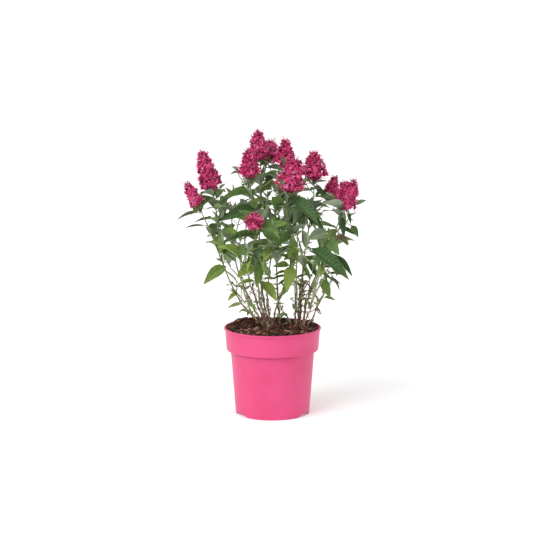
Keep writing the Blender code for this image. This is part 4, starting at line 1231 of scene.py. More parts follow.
# A few narrow, dry and budding leaves that show from the front, as in frontLeaves
smallLeaves = [
    ("left", (-0.060, -0.004, 0.217), (-0.087, -0.014, 0.212), 0.008, "paleGreen"),
    ("left", (-0.130, -0.028, 0.374), (-0.170, -0.033, 0.371), 0.004, "grey"),
    ("left", (-0.094, -0.011, 0.299), (-0.112, -0.016, 0.310), 0.006, "fresh"),
    ("middle_left", (-0.034, -0.007, 0.263), (-0.068, -0.017, 0.259), 0.009, "bright"),
    ("middle_right", (0.031, -0.019, 0.275), (-0.005, -0.024, 0.268), 0.005, "mid"),
    ("middle_right", (0.031, -0.022, 0.285), (0.001, -0.027, 0.277), 0.006, "fresh"),
    ("middle_right", (0.031, -0.017, 0.268), (0.009, -0.022, 0.257), 0.006, "mid"),
    ("middle_right", (0.020, -0.098, 0.460), (0.012, -0.110, 0.473), 0.005, "young"),
    ("middle_right", (0.020, -0.098, 0.460), (0.022, -0.112, 0.475), 0.005, "young"),
    ("middle_right", (0.022, -0.024, 0.494), (0.016, -0.034, 0.508), 0.006, "young"),
    ("middle_right", (0.022, -0.024, 0.494), (0.027, -0.034, 0.509), 0.006, "young"),
    ("middle_right", (0.022, -0.024, 0.494), (0.021, -0.038, 0.503), 0.005, "paleGreen"),
    ("middle_back", (-0.042, 0.014, 0.502), (-0.051, 0.008, 0.524), 0.007, "young"),
    ("middle_back", (-0.044, 0.010, 0.500), (-0.062, 0.004, 0.513), 0.006, "grey"),
    ("left", (-0.102, -0.020, 0.444), (-0.088, -0.026, 0.458), 0.006, "young"),
    ("right", (0.118, -0.028, 0.430), (0.104, -0.034, 0.440), 0.006, "young"),
    ("right", (0.118, -0.028, 0.426), (0.098, -0.032, 0.430), 0.006, "grey"),
    ("middle_left", (-0.064, -0.044, 0.484), (-0.078, -0.050, 0.492), 0.006, "young"),
    ("middle_left", (-0.064, -0.044, 0.480), (-0.080, -0.052, 0.478), 0.006, "grey"),
    ("right_front", (0.034, -0.015, 0.256), (0.017, -0.022, 0.237), 0.012, "fresh"),
    ("right_front", (0.045, -0.010, 0.207), (0.038, -0.016, 0.222), 0.010, "grey"),
    ("low", (0.030, -0.006, 0.197), (0.006, -0.018, 0.194), 0.008, "paleGreen"),
    ("right_middle", (0.062, 0.004, 0.273), (0.045, -0.001, 0.267), 0.005, "dark"),
    ("right_middle", (0.062, 0.004, 0.273), (0.080, -0.001, 0.272), 0.005, "dark"),
    ("right", (0.103, -0.008, 0.277), (0.138, -0.013, 0.276), 0.005, "dark"),
    ("right", (0.104, -0.008, 0.271), (0.133, -0.013, 0.258), 0.005, "grey"),
    ("right_low", (0.116, 0.008, 0.270), (0.130, 0.003, 0.245), 0.005, "grey"),
    ("right_low", (0.100, 0.004, 0.229), (0.123, -0.001, 0.224), 0.007, "fresh"),
    ("right", (0.128, -0.040, 0.362), (0.146, -0.050, 0.343), 0.007, "dry"),
    ("right", (0.128, -0.040, 0.360), (0.120, -0.050, 0.346), 0.006, "dry"),
    ("right", (0.146, -0.020, 0.400), (0.150, -0.028, 0.380), 0.006, "dark"),
    ("right", (0.134, -0.010, 0.368), (0.158, -0.018, 0.357), 0.009, "dark"),
    ("left", (-0.116, -0.012, 0.386), (-0.150, -0.020, 0.381), 0.006, "mid"),
    ("left", (-0.114, -0.012, 0.354), (-0.130, -0.020, 0.374), 0.012, "grey"),
    ("right_middle", (0.068, 0.000, 0.304), (0.085, -0.012, 0.273), 0.013, "dark"),
    ("right_middle", (0.060, 0.000, 0.292), (0.072, -0.010, 0.268), 0.009, "fresh"),
    ("right", (0.092, -0.006, 0.288), (0.126, -0.014, 0.291), 0.005, "mid"),
    ("right", (0.090, -0.006, 0.280), (0.120, -0.016, 0.262), 0.006, "grey"),
    ("left", (-0.070, -0.006, 0.240), (-0.086, -0.020, 0.227), 0.009, "bright"),
    ("left_inner", (-0.052, 0.008, 0.240), (-0.070, -0.002, 0.256), 0.008, "bright"),
    ("left_front", (-0.046, -0.030, 0.222), (-0.030, -0.042, 0.212), 0.008, "fresh"),
    ("right_middle", (0.070, 0.000, 0.223), (0.074, -0.004, 0.211), 0.004, "dry"),
    ("right_low", (0.086, 0.006, 0.208), (0.094, 0.002, 0.199), 0.004, "dry"),
]

# Growth on the canes themselves: small leaves at their nodes, shreds of peeling bark, bare twigs,
# and thin side stems up to the lowest leaves
lowGrowth = {
    "seed": 900, "floor": 0.196, "step": 0.011, "chance": 0.72, "rise": (0.1, 1.0), "swing": 20,
    "twigs": (3, 6), "twig": (0.008, 0.028), "twigRadius": 0.0006, "twigPlaces": (0.2, 0.9),
    "twigRise": (0.2, 1.2), "twigCurl": 0.6, "twigSteps": 5, "longTwig": 0.0012,
    "longTwigSpacing": 0.002,
    "shreds": (2, 5), "shred": (0.006, 0.020), "shredWidth": 0.0014, "shredTop": 0.240,
    "shredPlaces": (0.1, 0.7), "shredLift": (0.2, 0.6), "shredDroop": (0.0, 0.4),
    "thickCane": 0.0020,
    "stems": 9, "stemFrom": (0.35, 0.8), "stemRadius": 0.0008, "stemHeights": (0.27, 0.37),
    "stemReach": 0.06, "stemUpturn": 0.03, "stemSteps": 6,
}
bareTwigs = {
    "right_middle": [
        ((0.062, 0.002, 0.206), (0.066, -0.004, 0.232),
         (0.075, -0.008, 0.244), (0.090, -0.010, 0.228)),
        ((0.058, 0.004, 0.247), (0.066, -0.002, 0.258), (0.079, -0.006, 0.243),
         (0.088, -0.008, 0.222), (0.081, -0.010, 0.206), (0.067, -0.010, 0.202)),
    ],
    "right_front": [
        ((0.050, -0.008, 0.226), (0.060, -0.014, 0.246),
         (0.076, -0.016, 0.276), (0.078, -0.018, 0.296)),
    ],
    "right_low": [
        ((0.072, 0.006, 0.216), (0.071, 0.000, 0.211), (0.076, -0.002, 0.206)),
        ((0.086, 0.006, 0.207), (0.090, 0.002, 0.199), (0.096, 0.000, 0.197)),
    ],
    "left": [
        ((-0.072, -0.004, 0.342), (-0.058, -0.006, 0.322), (-0.046, -0.008, 0.296)),
        ((-0.078, -0.004, 0.259), (-0.070, -0.008, 0.252), (-0.062, -0.008, 0.256)),
        ((-0.080, -0.004, 0.248), (-0.066, -0.010, 0.236), (-0.052, -0.008, 0.218)),
    ],
    "left_inner": [
        ((-0.040, 0.010, 0.256), (-0.037, 0.004, 0.240), (-0.033, 0.000, 0.222)),
        ((-0.062, 0.006, 0.272), (-0.054, 0.000, 0.246), (-0.040, -0.002, 0.222)),
    ],
    "middle_left": [
        ((-0.022, -0.004, 0.262), (-0.019, -0.010, 0.244), (-0.024, -0.012, 0.226)),
    ],
}


def growCaneLeaves(space, mass, points, radius, rng):
    count = int(lengthOf(points) / lowGrowth["step"])
    turn = rng.uniform(0, 90)
    for node in range(count):
        root, along = pointAlong(points, (node + 0.5) / count)
        for side in (0, 180):
            if root.z < lowGrowth["floor"] or rng.random() > lowGrowth["chance"]:
                continue
            toward = turn + 90 * node + side + rng.gauss(0, lowGrowth["swing"])
            heading = aimed(along, toward, rng.uniform(*lowGrowth["rise"]))
            growLeaflet(space, mass, "low", root + heading * radius * 0.8, heading, rng)


def growShreds(mass, points, radius, rng):
    # a shred is a narrow leaf of bark that lifts off the cane
    for _ in range(rng.randint(*lowGrowth["shreds"]) if radius > lowGrowth["thickCane"] else 1):
        root, along = pointAlong(points, rng.uniform(*lowGrowth["shredPlaces"]))
        if root.z < lowGrowth["shredTop"]:
            aside = aimed(along, rng.uniform(0, 360), 0.0)
            way = along * rng.choice((-1, 1))
            heading = (way + aside * rng.uniform(*lowGrowth["shredLift"])).normalized()
            length = rng.uniform(*lowGrowth["shred"])
            droop = rng.uniform(*lowGrowth["shredDroop"])
            mass.leaves.append(Leaf(root + aside * radius * 0.9, heading, aside, length, droop,
                                    lowGrowth["shredWidth"], "husk", "low"))


def growBareTwigs(mass, points, rng):
    for _ in range(rng.randint(*lowGrowth["twigs"])):
        root, along = pointAlong(points, rng.uniform(*lowGrowth["twigPlaces"]))
        heading = aimed(along, rng.uniform(0, 360), rng.uniform(*lowGrowth["twigRise"]))
        end = root + heading * rng.uniform(*lowGrowth["twig"])
        arrival = aimed(heading, rng.uniform(0, 360), lowGrowth["twigCurl"])
        mass.bareTwigs.append(curveBetween(root, heading, end, arrival, lowGrowth["twigSteps"]))
    for line in bareTwigs.get(mass.name, ()):
        line = [Vector(point) for point in line]
        mass.longTwigs.append(smoothPath(line, lowGrowth["longTwigSpacing"]))


def growSideStems(mass, points, rng):
    lowest, highest = lowGrowth["stemHeights"]
    ends = [leaf.root for leaf in mass.leaves
            if leaf.kind == "leaf" and lowest < leaf.root.z < highest
            and (leaf.root - points[-1]).length < lowGrowth["stemReach"]]
    for end in rng.sample(ends, min(len(ends), lowGrowth["stems"])):
        start, along = pointAlong(points, rng.uniform(*lowGrowth["stemFrom"]))
        lean = along + (end - start).normalized()
        arrival = end - start + sky * lowGrowth["stemUpturn"]
        path = curveBetween(start, lean, end, arrival, lowGrowth["stemSteps"])
        if not hidesGap([point for point in path if point.z > lowest]):
            mass.sideStems.append(path)


def growLow(space, mass, number):
    rng = random.Random(lowGrowth["seed"] + number)
    foot, bend, tip, radius, _ = canes[mass.name]
    points = canePath(foot, bend, tip)
    growCaneLeaves(space, mass, points, radius, rng)
    growShreds(mass, points, radius, rng)
    growBareTwigs(mass, points, rng)
    growSideStems(mass, points, rng)


growPlaced(space, crown, smallLeaves)
for number, mass in enumerate(crown):
    growFiner(space, mass, number)
    growLow(space, mass, number)
print("finer growth:", sum(len(mass.twiglets) for mass in crown), "twiglets,",
      sum(len(mass.leaves) for mass in crown), "leaves and leaflets")


# Leaves: lance-shaped blades with a pale rib, felted grey beneath
blade = {
    "seed": 61, "shapes": 6, "broad": (5, 11), "small": (2, 6), "width": 0.36, "thick": 0.0065,
    "stalkEnd": 0.05, "stalkWidth": 0.09, "ribHalf": 0.05, "ribTaper": 0.7, "inner": 0.55,
    "fold": 0.15, "ripple": 0.014, "teeth": 0.03, "veins": 12, "joined": 0.0005,
    "waves": (1.2, 2.2), "wave": (0.004, 0.016), "curl": (-0.02, 0.06),
    # the powers by which the outline swells from the stalk and narrows to the tip, and its widest
    "outline": (0.75, 1.05, 0.2945),
    # how a leaf twists and bends as it is laid in place, and how much more or less some twist
    "twist": 0.35, "bend": (-0.02, 0.10), "dryTwist": 2.5, "placedTwist": 0.3, "feltShare": 0.4,
}
# bright, given mostly to the low leaves, is partly their own green and partly painted light shining
# through them
leafTints = {
    "bright": (0.265, 0.37, 0.072), "fresh": (0.175, 0.275, 0.058), "mid": (0.106, 0.193, 0.048),
    "dark": (0.050, 0.106, 0.030), "grey": (0.17, 0.22, 0.13), "young": (0.27, 0.32, 0.16),
    "felt": (0.31, 0.37, 0.25), "paleGreen": (0.25, 0.33, 0.14), "rib": (0.35, 0.42, 0.18),
    "darkRib": (0.13, 0.20, 0.08), "dry": (0.17, 0.105, 0.060), "husk": (0.55, 0.42, 0.30),
}
# How many leaves have each tint: the young ones, and the others by the height that they are under;
# the low ones mostly bright, as painted light shining through them
youngMix = {"young": 5, "grey": 3, "fresh": 2}
leafMixes = (
    (0.31, {"bright": 6, "fresh": 4, "paleGreen": 1, "mid": 1}),
    (0.38, {"bright": 3, "fresh": 5, "mid": 4, "dark": 2, "grey": 2}),
    (1.00, {"fresh": 3, "mid": 4, "dark": 3, "grey": 4}),
)


def bladeReach(t):
    # half the blade's width at t of its length, as a share of its widest
    u = (t - blade["stalkEnd"]) / (1 - blade["stalkEnd"])
    if u <= 0:
        return blade["stalkWidth"]
    swell, narrow, widest = blade["outline"]
    return max(u ** swell * (1 - u) ** narrow / widest, blade["stalkWidth"] * (1 - u))


def bladeShape(columns, rows, rng):
    bm = bmesh.new()
    bmesh.ops.create_grid(bm, x_segments=columns, y_segments=rows, size=1.0)
    ribbed = columns == blade["broad"][0]
    phase = rng.uniform(0, fullTurn)
    waves, wave, curl = (rng.uniform(*blade[part]) for part in ("waves", "wave", "curl"))
    for vert in bm.verts:
        s, t = vert.co.x, (vert.co.y + 1) / 2
        row = round(t * rows)
        reach = bladeReach(t)
        if ribbed:
            rib = min(0.5, blade["ribHalf"] * (1 - blade["ribTaper"] * t) / max(reach, 0.01))
            steps = {1: rib, 3: rib + (1 - rib) * blade["inner"], 5: 1.0}
            s = math.copysign(steps[round(abs(s) * columns)], s)
        if abs(s) > 0.99 and row % 2:
            reach *= 1 - blade["teeth"]
        # folded up along the rib, each half waved on its own, rippled between the veins
        lift = blade["fold"] * abs(s) * reach
        swing = math.sin(phase + waves * fullTurn * t + (s > 0) * 0.9)
        lift += wave * swing * abs(s) ** 1.5 * min(1, 3 * (1 - t))
        if 0.3 < abs(s) < 0.99:
            lift += blade["ripple"] * (1 if row % 2 else -1) * reach * 0.5
        vert.co = (s * reach * blade["width"] / 2, t, lift - curl * t * t)
    bmesh.ops.remove_doubles(bm, verts=bm.verts, dist=blade["joined"])
    bmesh.ops.recalc_face_normals(bm, faces=bm.faces)
    if sum(face.normal.z for face in bm.faces) < 0:
        bmesh.ops.reverse_faces(bm, faces=bm.faces)
    bmesh.ops.solidify(bm, geom=bm.faces[:], thickness=blade["thick"])
    bmesh.ops.recalc_face_normals(bm, faces=bm.faces)

    def part(face):
        # 0 on top, 1 beneath, 2 on the rib
        middle = face.calc_center_median()
        if ribbed and abs(middle.x) < blade["ribHalf"] * blade["width"] / 2 * 0.5:
            return 2
        return 0 if face.normal.z > 0 else 1

    def spot(vert):
        reach = max(bladeReach(min(1.0, vert.co.y)), 0.02) * blade["width"] / 2
        return (max(0.0, min(1.0, 0.5 + vert.co.x / reach / 2)), vert.co.y)

    return Shape(bm, part, spot)


def leafPaint(name, colour):
    rough = 0.72 if name in ("felt", "paleGreen", "young") else 0.5
    paint = Paint("leaf " + name, colour, {"Specular IOR Level": 0.22})
    spot = paint.node("ShaderNodeUVMap", {"uv_map": "blade"}, {})
    side = abs(paint.node("ShaderNodeSeparateXYZ", {}, {0: spot}, "X") * 2 - 1)
    along = paint.node("ShaderNodeSeparateXYZ", {}, {0: spot}, "Y")
    line = abs((along * blade["veins"] - side * 1.5).fraction() - 0.5)
    vein = 1 - line.ramp(0.03, 0.16)
    cloud = paint.grain(130.0).ramp(0.3, 0.7)
    body = paint.blend(cloud, shaded(colour, 0.80), shaded(colour, 1.08))
    pale = [part * 0.6 + other * 0.4 for part, other in zip(colour, leafTints["felt"])]
    paint.feed("Base Color", paint.blend(vein * 0.38, body, pale))
    paint.feed("Roughness", rough + cloud * 0.12)
    return paint


def laidBlade(shape, leaf, twist, curl):
    # the blade's points, bent and turned to lie where the leaf does
    aside = leaf.heading.cross(leaf.upward).normalized()
    face = aside.cross(leaf.heading).normalized()
    x, y, z = (column[:, None] for column in shape.points.T)
    turn = twist * y
    side = np.cos(turn) * np.array(aside) + np.sin(turn) * np.array(face)
    lift = np.cos(turn) * np.array(face) - np.sin(turn) * np.array(aside)
    fall = leaf.droop * y * y * np.array(sky) + curl * y ** 3 * np.array(face)
    points = (y * np.array(leaf.heading) + z * lift - fall) * leaf.length
    return points + side * x * (leaf.width / blade["width"]) + np.array(leaf.root)


def drawn(rng, mix):
    return rng.choices(list(mix), list(mix.values()))[0]


def tintFor(leaf, rng):
    if leaf.tint:
        return leaf.tint
    if leaf.kind in ("bract", "tuft"):
        return drawn(rng, youngMix)
    # lower leaves are dealt brighter greens, as painted light shining through them
    height = leaf.root.z + leaf.heading.z * leaf.length / 2
    return drawn(rng, next(mix for top, mix in leafMixes if height < top))


def makeLeaves():
    rng = random.Random(blade["seed"])
    paints = [leafPaint(name, colour) for name, colour in leafTints.items()]
    number = {name: place for place, name in enumerate(leafTints)}
    broad = [bladeShape(*blade["broad"], rng) for _ in range(blade["shapes"])]
    small = [bladeShape(*blade["small"], rng) for _ in range(blade["shapes"])]
    for mass in crown:
        spray = Spray()
        for leaf in mass.leaves:
            withered = leaf.tint in ("dry", "husk")
            shape = rng.choice(broad if leaf.kind == "leaf" else small)
            twist, bend = rng.gauss(0.0, blade["twist"]), rng.uniform(*blade["bend"])
            if leaf.tint:
                twist *= blade["dryTwist" if withered else "placedTwist"]
            points = laidBlade(shape, leaf, twist, bend)
            top = tintFor(leaf, rng)
            isFelted = top in ("grey", "young", "dark") or rng.random() < blade["feltShare"]
            sides = [top, "felt" if isFelted else "paleGreen",
                     "darkRib" if top in ("dark", "mid") else "rib"]
            spray.add(shape, points, [number[top if withered else side] for side in sides])
        finish(spray.make("leaves_" + mass.name, paints), "foliage", mass.node)


makeLeaves()
print("leaves made")


# Twigs: round green stems, a little swollen where leaves leave them
stems = {
    "spacing": 0.004, "swelling": 1.22, "swellWidth": 0.09, "sides": 6, "rooted": 0.0025,
    "stem": (0.34, 0.39, 0.20), "olive": (0.27, 0.29, 0.15),
}


def twigPaint(name):
    paint = Paint("twig " + name, stems[name], {"Roughness": 0.65, "Specular IOR Level": 0.3})
    streak = paint.grain(300.0, stretch=(1.0, 1.0, 0.25)).ramp(0.3, 0.7)
    paint.feed("Base Color", paint.blend(streak, shaded(stems[name], 0.75), stems[name]))
    paint.bump(streak, 0.0001)
    return paint


def twigRadii(line, firstRadius, lastRadius):
    length = lengthOf(line)
    radii = []
    for step in range(len(line)):
        share = step / (len(line) - 1)
        node = (share * length / rule["spacing"] + 0.5) % 1
        bulge = math.exp(-((node - 0.5) / stems["swellWidth"]) ** 2)
        swell = 1 + (stems["swelling"] - 1) * bulge
        radii.append((firstRadius + (lastRadius - firstRadius) * share) * swell)
    return radii


def makeTwigs():
    paints = [twigPaint(name) for name in ("stem", "olive")]
    for mass in crown:
        curve = newTubes("twigs_" + mass.name, stems["sides"], paints)
        for place, (points, firstRadius, lastRadius) in enumerate(mass.twigs):
            lean = (points[1] - points[0]).normalized()
            line = smoothPath([points[0] - lean * stems["rooted"], *points], stems["spacing"])
            addTube(curve, line, twigRadii(line, firstRadius, lastRadius), 0 if place else 1)
        for path in mass.twiglets:
            radii = [finer["radius"] * (1.2 - 0.1 * step) for step in range(len(path))]
            addTube(curve, path, radii)
        for path in mass.sideStems:
            line = smoothPath(path, stems["spacing"])
            addTube(curve, line, [lowGrowth["stemRadius"]] * len(line), 1)
        finish(smoothed(taken(curve), 40), "foliage", mass.node)


makeTwigs()
print("twigs made")


# Flower heads: cones of small clusters round a dark core, each cluster a handful of four-lobed
# florets and a few long buds, with stalked buds at the head's tip and under its open florets
bloom = {
    "seed": 71, "shapes": 5, "depth": 0.0040, "outerShare": 0.99, "taper": 0.20, "point": 0.32,
    "from": 0.05, "to": 0.96, "clusterGap": 0.0076, "closing": 0.38, "lumps": (0.66, 1.14),
    "unevenTurn": 0.2, "unevenPlace": 0.03, "hubBelow": 0.06,
    "floret": (0.0021, 0.0031), "florets": (4, 7), "tube": 1.5, "lobe": 0.34, "eye": 0.22,
    "dome": 0.0036, "spread": (0.55, 0.95), "unevenSpread": 0.2, "ownTint": 0.6,
    "budFrom": 0.60, "budWidth": 0.25, "budLength": (0.004, 0.0068), "leastBuds": 0.06,
    "spikes": (2, 4), "spike": (0.0044, 0.0082), "spikeSpread": (0.3, 1.2), "spikeRoot": 0.6,
    "heart": 0.80, "coreShare": 0.55, "coreBud": 0.0085, "coreBuds": (0.7, 1.0),
    "stalkRadius": 0.00035,
    "baseBuds": 22, "basePlaces": (-0.02, 0.06), "baseRise": (-0.4, 0.5), "baseReach": (0.30, 0.62),
    "baseBud": (0.0036, 0.0060), "baseTints": ("greenBud", "stalk", "bud", "crimson"),
    "tipBuds": (30, 38), "tipPlaces": (0.64, 0.89), "tipSpread": (0.1, 1.2),
    "tipReach": (0.35, 1.0), "tipBud": (0.0032, 0.0056),
    "tipTints": ("bud", "bud", "deep", "deep", "crimson", "rose"),
    # how many clusters are rose, crimson, deep and pink, in most heads and in the paler heads and
    # darker heads, with painted light on the paler and painted shade on the darker
    "mix": (34, 38, 24, 4),
    "mixes": {("middle_left", 1): (44, 18, 8, 30), ("left", 1): (40, 26, 12, 22),
              ("middle_back", 0): (40, 34, 16, 10), ("right_middle", 0): (26, 42, 30, 2),
              ("right", 1): (24, 40, 34, 2)},
    # a head's width and length against its plain one's, by its mass and number
    "fuller": {("middle_back", 0): (1.2, 0.93), ("middle_back", 1): (1.3, 0.93),
               ("middle_left", 1): (1.12, 0.8), ("left", 1): (0.9, 1.0),
               ("right_middle", 0): (1.0, 0.93), ("middle_right", 1): (1.0, 0.95)},
}
# rose, crimson and deep are the petals' crimson in painted light, half shade and shade, with some
# spread of their own; pink stands for painted highlights
petalTints = {
    "rose": (0.77, 0.090, 0.28), "crimson": (0.58, 0.040, 0.16), "deep": (0.30, 0.012, 0.060),
    "pink": (0.85, 0.22, 0.44), "eye": (0.62, 0.17, 0.08), "bud": (0.25, 0.040, 0.050),
    "greenBud": (0.24, 0.21, 0.09), "stalk": (0.33, 0.36, 0.17),
}


def floretShape(rng):
    # a trumpet that opens into four round lobes
    bm = bmesh.new()
    bmesh.ops.create_cone(bm, cap_ends=True, segments=12, radius1=1.0, radius2=0.0,
                          depth=bloom["tube"])
    bmesh.ops.remove_doubles(bm, verts=bm.verts, dist=tiny)
    bmesh.ops.scale(bm, vec=(1.0, 1.0, -1.0), verts=bm.verts)
    bmesh.ops.reverse_faces(bm, faces=bm.faces)
    face = max(bm.faces, key=lambda face: len(face.verts))
    rim = list(face.verts)
    bmesh.ops.inset_region(bm, faces=[face], thickness=1 - bloom["eye"])
    eye = max(bm.faces, key=lambda face: len(face.verts))
    for vert in eye.verts:
        vert.co.z -= 0.16
    bmesh.ops.poke(bm, faces=[eye], offset=-0.25)
    for number, vert in enumerate(sorted(rim, key=lambda vert: math.atan2(vert.co.y, vert.co.x))):
        notch = number % 3 == 1
        vert.co.xy *= bloom["lobe"] if notch else rng.uniform(0.92, 1.06)
        vert.co.z += rng.uniform(-0.05, 0.10) if notch else rng.uniform(-0.22, 0.08)
    bmesh.ops.translate(bm, vec=(0.0, 0.0, -bloom["tube"] / 2), verts=bm.verts)

    def part(face):
        # 0 on the open face, 1 behind, 2 in the eye
        middle = face.calc_center_median()
        if math.hypot(middle.x, middle.y) < bloom["eye"] * 0.8 and face.normal.z > 0:
            return 2
        return 0 if face.normal.z > 0.2 else 1

    return Shape(bm, part)


def budShape():
    bm = bmesh.new()
    bmesh.ops.create_icosphere(bm, subdivisions=1, radius=1.0)
    bmesh.ops.scale(bm, vec=(bloom["budWidth"], bloom["budWidth"], 1.0), verts=bm.verts)
    return Shape(bm)


def stalkShape():
    bm = bmesh.new()
    bmesh.ops.create_cone(bm, cap_ends=True, segments=4, radius1=1.0, radius2=0.7, depth=1.0)
    bmesh.ops.translate(bm, vec=(0.0, 0.0, 0.5), verts=bm.verts)
    return Shape(bm)


def standing(shape, place, aim, size, turn=0.0):
    # the shape's points with its own Z laid along the aim
    aside = sideways(aim, turn)
    axes = np.array([aside, aim.cross(aside), aim])
    return (shape.points * np.array(size)) @ axes + np.array(place)


class Blossom:
    # the shapes of a mass's flower heads, and the mesh that gathers them
    def __init__(self, rng):
        self.rng = rng
        self.florets = [floretShape(rng) for _ in range(bloom["shapes"])]
        self.bud = budShape()
        self.stalk = stalkShape()
        self.number = {name: place for place, name in enumerate(petalTints)}
        self.spray = Spray()

    def addFloret(self, place, aim, radius, tint):
        shape, turn = self.rng.choice(self.florets), self.rng.uniform(0, fullTurn)
        # the back of a floret takes the next darker tint, as painted shade
        back = "crimson" if tint in ("rose", "pink") else "deep"
        tints = [self.number[name] for name in (tint, back, "eye")]
        self.spray.add(self.florets[0], standing(shape, place, aim, (radius,) * 3, turn), tints)

    def addBud(self, place, aim, length, tint):
        points = standing(self.bud, place + aim * length / 2, aim, (length / 2,) * 3)
        self.spray.add(self.bud, points, [self.number[tint]])

    def addCore(self, place, aim, radius, length):
        # the dark heart of a head, which shuts out the sky, tinted deep as painted shade
        size = (radius / bloom["budWidth"], radius / bloom["budWidth"], length)
        self.spray.add(self.bud, standing(self.bud, place, aim, size), [self.number["deep"]])

    def addStalk(self, start, end, tint):
        aim = end - start
        size = (bloom["stalkRadius"], bloom["stalkRadius"], aim.length)
        points = standing(self.stalk, start, aim.normalized(), size)
        self.spray.add(self.stalk, points, [self.number[tint]])

    def addStalkedBud(self, start, end, aim, stalk, lengths, tints):
        self.addStalk(start, end, stalk)
        self.addBud(end, aim, self.rng.uniform(*lengths), self.rng.choice(tints))

    def addCluster(self, hub, centre, aim, share, mix):
        rng = self.rng
        # the stalk inside the head is tinted deep, as painted shade
        self.addStalk(hub, centre, "deep")
        tint = rng.choices(("rose", "crimson", "deep", "pink"), mix)[0]
        count = rng.randint(*bloom["florets"])
        budChance = max(bloom["leastBuds"], (share - bloom["budFrom"]) / (1 - bloom["budFrom"]))
        for n in range(count):
            # the last one stands in the middle of the others
            angle = fullTurn * n / (count - 1) + rng.gauss(0, bloom["unevenSpread"])
            tilt = 0.0 if n == count - 1 else rng.uniform(*bloom["spread"])
            towards = tilted(aim, angle, tilt)
            place = centre + towards * bloom["dome"]
            isOwn = rng.random() < bloom["ownTint"]
            own = tint if isOwn else rng.choice(("rose", "crimson", "deep"))
            if rng.random() < budChance:
                length = rng.uniform(*bloom["budLength"])
                self.addBud(centre, towards, length, rng.choice(("bud", "deep", "crimson")))
            else:
                radius = rng.uniform(*bloom["floret"]) * (1.08 - 0.25 * share)
                self.addFloret(place, towards, radius, own)
        for _ in range(rng.randint(*bloom["spikes"])):
            angle = rng.uniform(0, fullTurn)
            towards = tilted(aim, angle, rng.uniform(*bloom["spikeSpread"]))
            tint = rng.choice(("deep", "crimson", "rose", "pink"))
            root = centre + towards * bloom["dome"] * bloom["spikeRoot"]
            self.addBud(root, towards, rng.uniform(*bloom["spike"]), tint)

    def addRing(self, base, axis, share, width, mix):
        # the clusters at that share of the head's length; it gives the way to the next ring
        rng, heading, uneven = self.rng, axis.normalized(), bloom["unevenPlace"]
        gap = bloom["clusterGap"] * (1 - bloom["closing"] * share)
        taper = bloom["outerShare"] - bloom["taper"] * share ** 2 - bloom["point"] * share ** 8
        radius = max(0.0, width / 2 * headSwell(share) * taper - bloom["depth"])
        around = max(2, round(fullTurn * radius / gap))
        self.addCore(base + axis * share, heading, radius * bloom["heart"], gap)
        first = rng.uniform(0, fullTurn)
        for n in range(around):
            turn = n + rng.uniform(-bloom["unevenTurn"], bloom["unevenTurn"])
            out = sideways(heading, first + fullTurn * turn / around)
            hub = base + axis * max(0.0, share - bloom["hubBelow"])
            centre = base + axis * (share + rng.uniform(-uneven, uneven))
            centre += out * radius * rng.uniform(*bloom["lumps"])
            # clusters hang a little at the head's foot and point up towards its tip
            rise = 0.15 + 0.8 * share ** 3 - 0.5 * max(0.0, 0.12 - share) / 0.12
            aim = (out + heading * rise).normalized()
            self.addCluster(hub, centre, aim, share, mix)
            # buds inside the ring of clusters, tinted deep as painted shade
            inner = base + axis * share + out * radius * bloom["coreShare"]
            self.addBud(inner, aim, bloom["coreBud"] * rng.uniform(*bloom["coreBuds"]), "deep")
        return gap

    def addHead(self, base, tip, width, mix):
        rng = self.rng
        axis = tip - base
        heading = axis.normalized()
        share = bloom["from"]
        while share < bloom["to"]:
            share += self.addRing(base, axis, share, width, mix) / axis.length
        for _ in range(bloom["baseBuds"]):
            out = sideways(heading, rng.uniform(0, fullTurn))
            aim = (out + heading * rng.uniform(*bloom["baseRise"])).normalized()
            start = base + axis * rng.uniform(*bloom["basePlaces"])
            end = start + aim * rng.uniform(*bloom["baseReach"]) * width * 0.7
            self.addStalkedBud(start, end, aim, "stalk", bloom["baseBud"], bloom["baseTints"])
        for _ in range(rng.randint(*bloom["tipBuds"])):
            share = rng.uniform(*bloom["tipPlaces"])
            out = sideways(heading, rng.uniform(0, fullTurn))
            aim = (heading + out * rng.uniform(*bloom["tipSpread"])).normalized()
            start = base + axis * share
            end = start + aim * rng.uniform(*bloom["tipReach"]) * width / 2 * headSwell(share)
            self.addStalkedBud(start, end, aim, "bud", bloom["tipBud"], bloom["tipTints"])


def makeBlossom():
    paints = []
    for name, colour in petalTints.items():
        rough = 0.75 if name in ("stalk", "greenBud") else 0.6
        values = {"Roughness": rough, "Specular IOR Level": 0.25}
        paints.append(Paint("petal " + name, colour, values))
    for number, mass in enumerate(crown):
        if not mass.heads:
            continue
        blossom = Blossom(random.Random(bloom["seed"] + number))
        for place, (base, tip, width) in enumerate(mass.heads):
            wider, longer = bloom["fuller"].get((mass.name, place), (1.0, 1.0))
            mix = bloom["mixes"].get((mass.name, place), bloom["mix"])
            blossom.addHead(base, base + (tip - base) * longer, width * wider, mix)
        finish(blossom.spray.make("blossom_" + mass.name, paints), "blossom", mass.node)


makeBlossom()
print("blossom made")


# Bark: each cane is brown and fissured at its foot and turns smooth and green towards its tip
bark = {
    "seed": 5, "sides": 14, "spacing": 0.0012, "flare": 1.55, "flareLength": 0.007, "rooted": 0.002,
    "firstNode": (0.012, 0.022), "nodeEvery": 0.020, "nodeGaps": (0.8, 1.25), "nodeSwell": 0.42,
    "nodeWidth": 0.0022, "relief": 0.15, "fissure": 0.25, "crackWidth": 0.16, "crackDepth": 0.6,
    "smoothest": 0.75, "lumpScale": (420, 420, 110), "crackScale": (900, 900, 120),
    "crook": 0.0026, "crookScale": 50.0, "crookEase": 5,
    "twigSides": 6, "twigGreening": (0.25, 0.34),
    "brown": (0.240, 0.140, 0.092), "tan": (0.55, 0.42, 0.30), "dark": (0.085, 0.046, 0.032),
    "green": (0.40, 0.41, 0.22), "olive": (0.30, 0.30, 0.16),
}


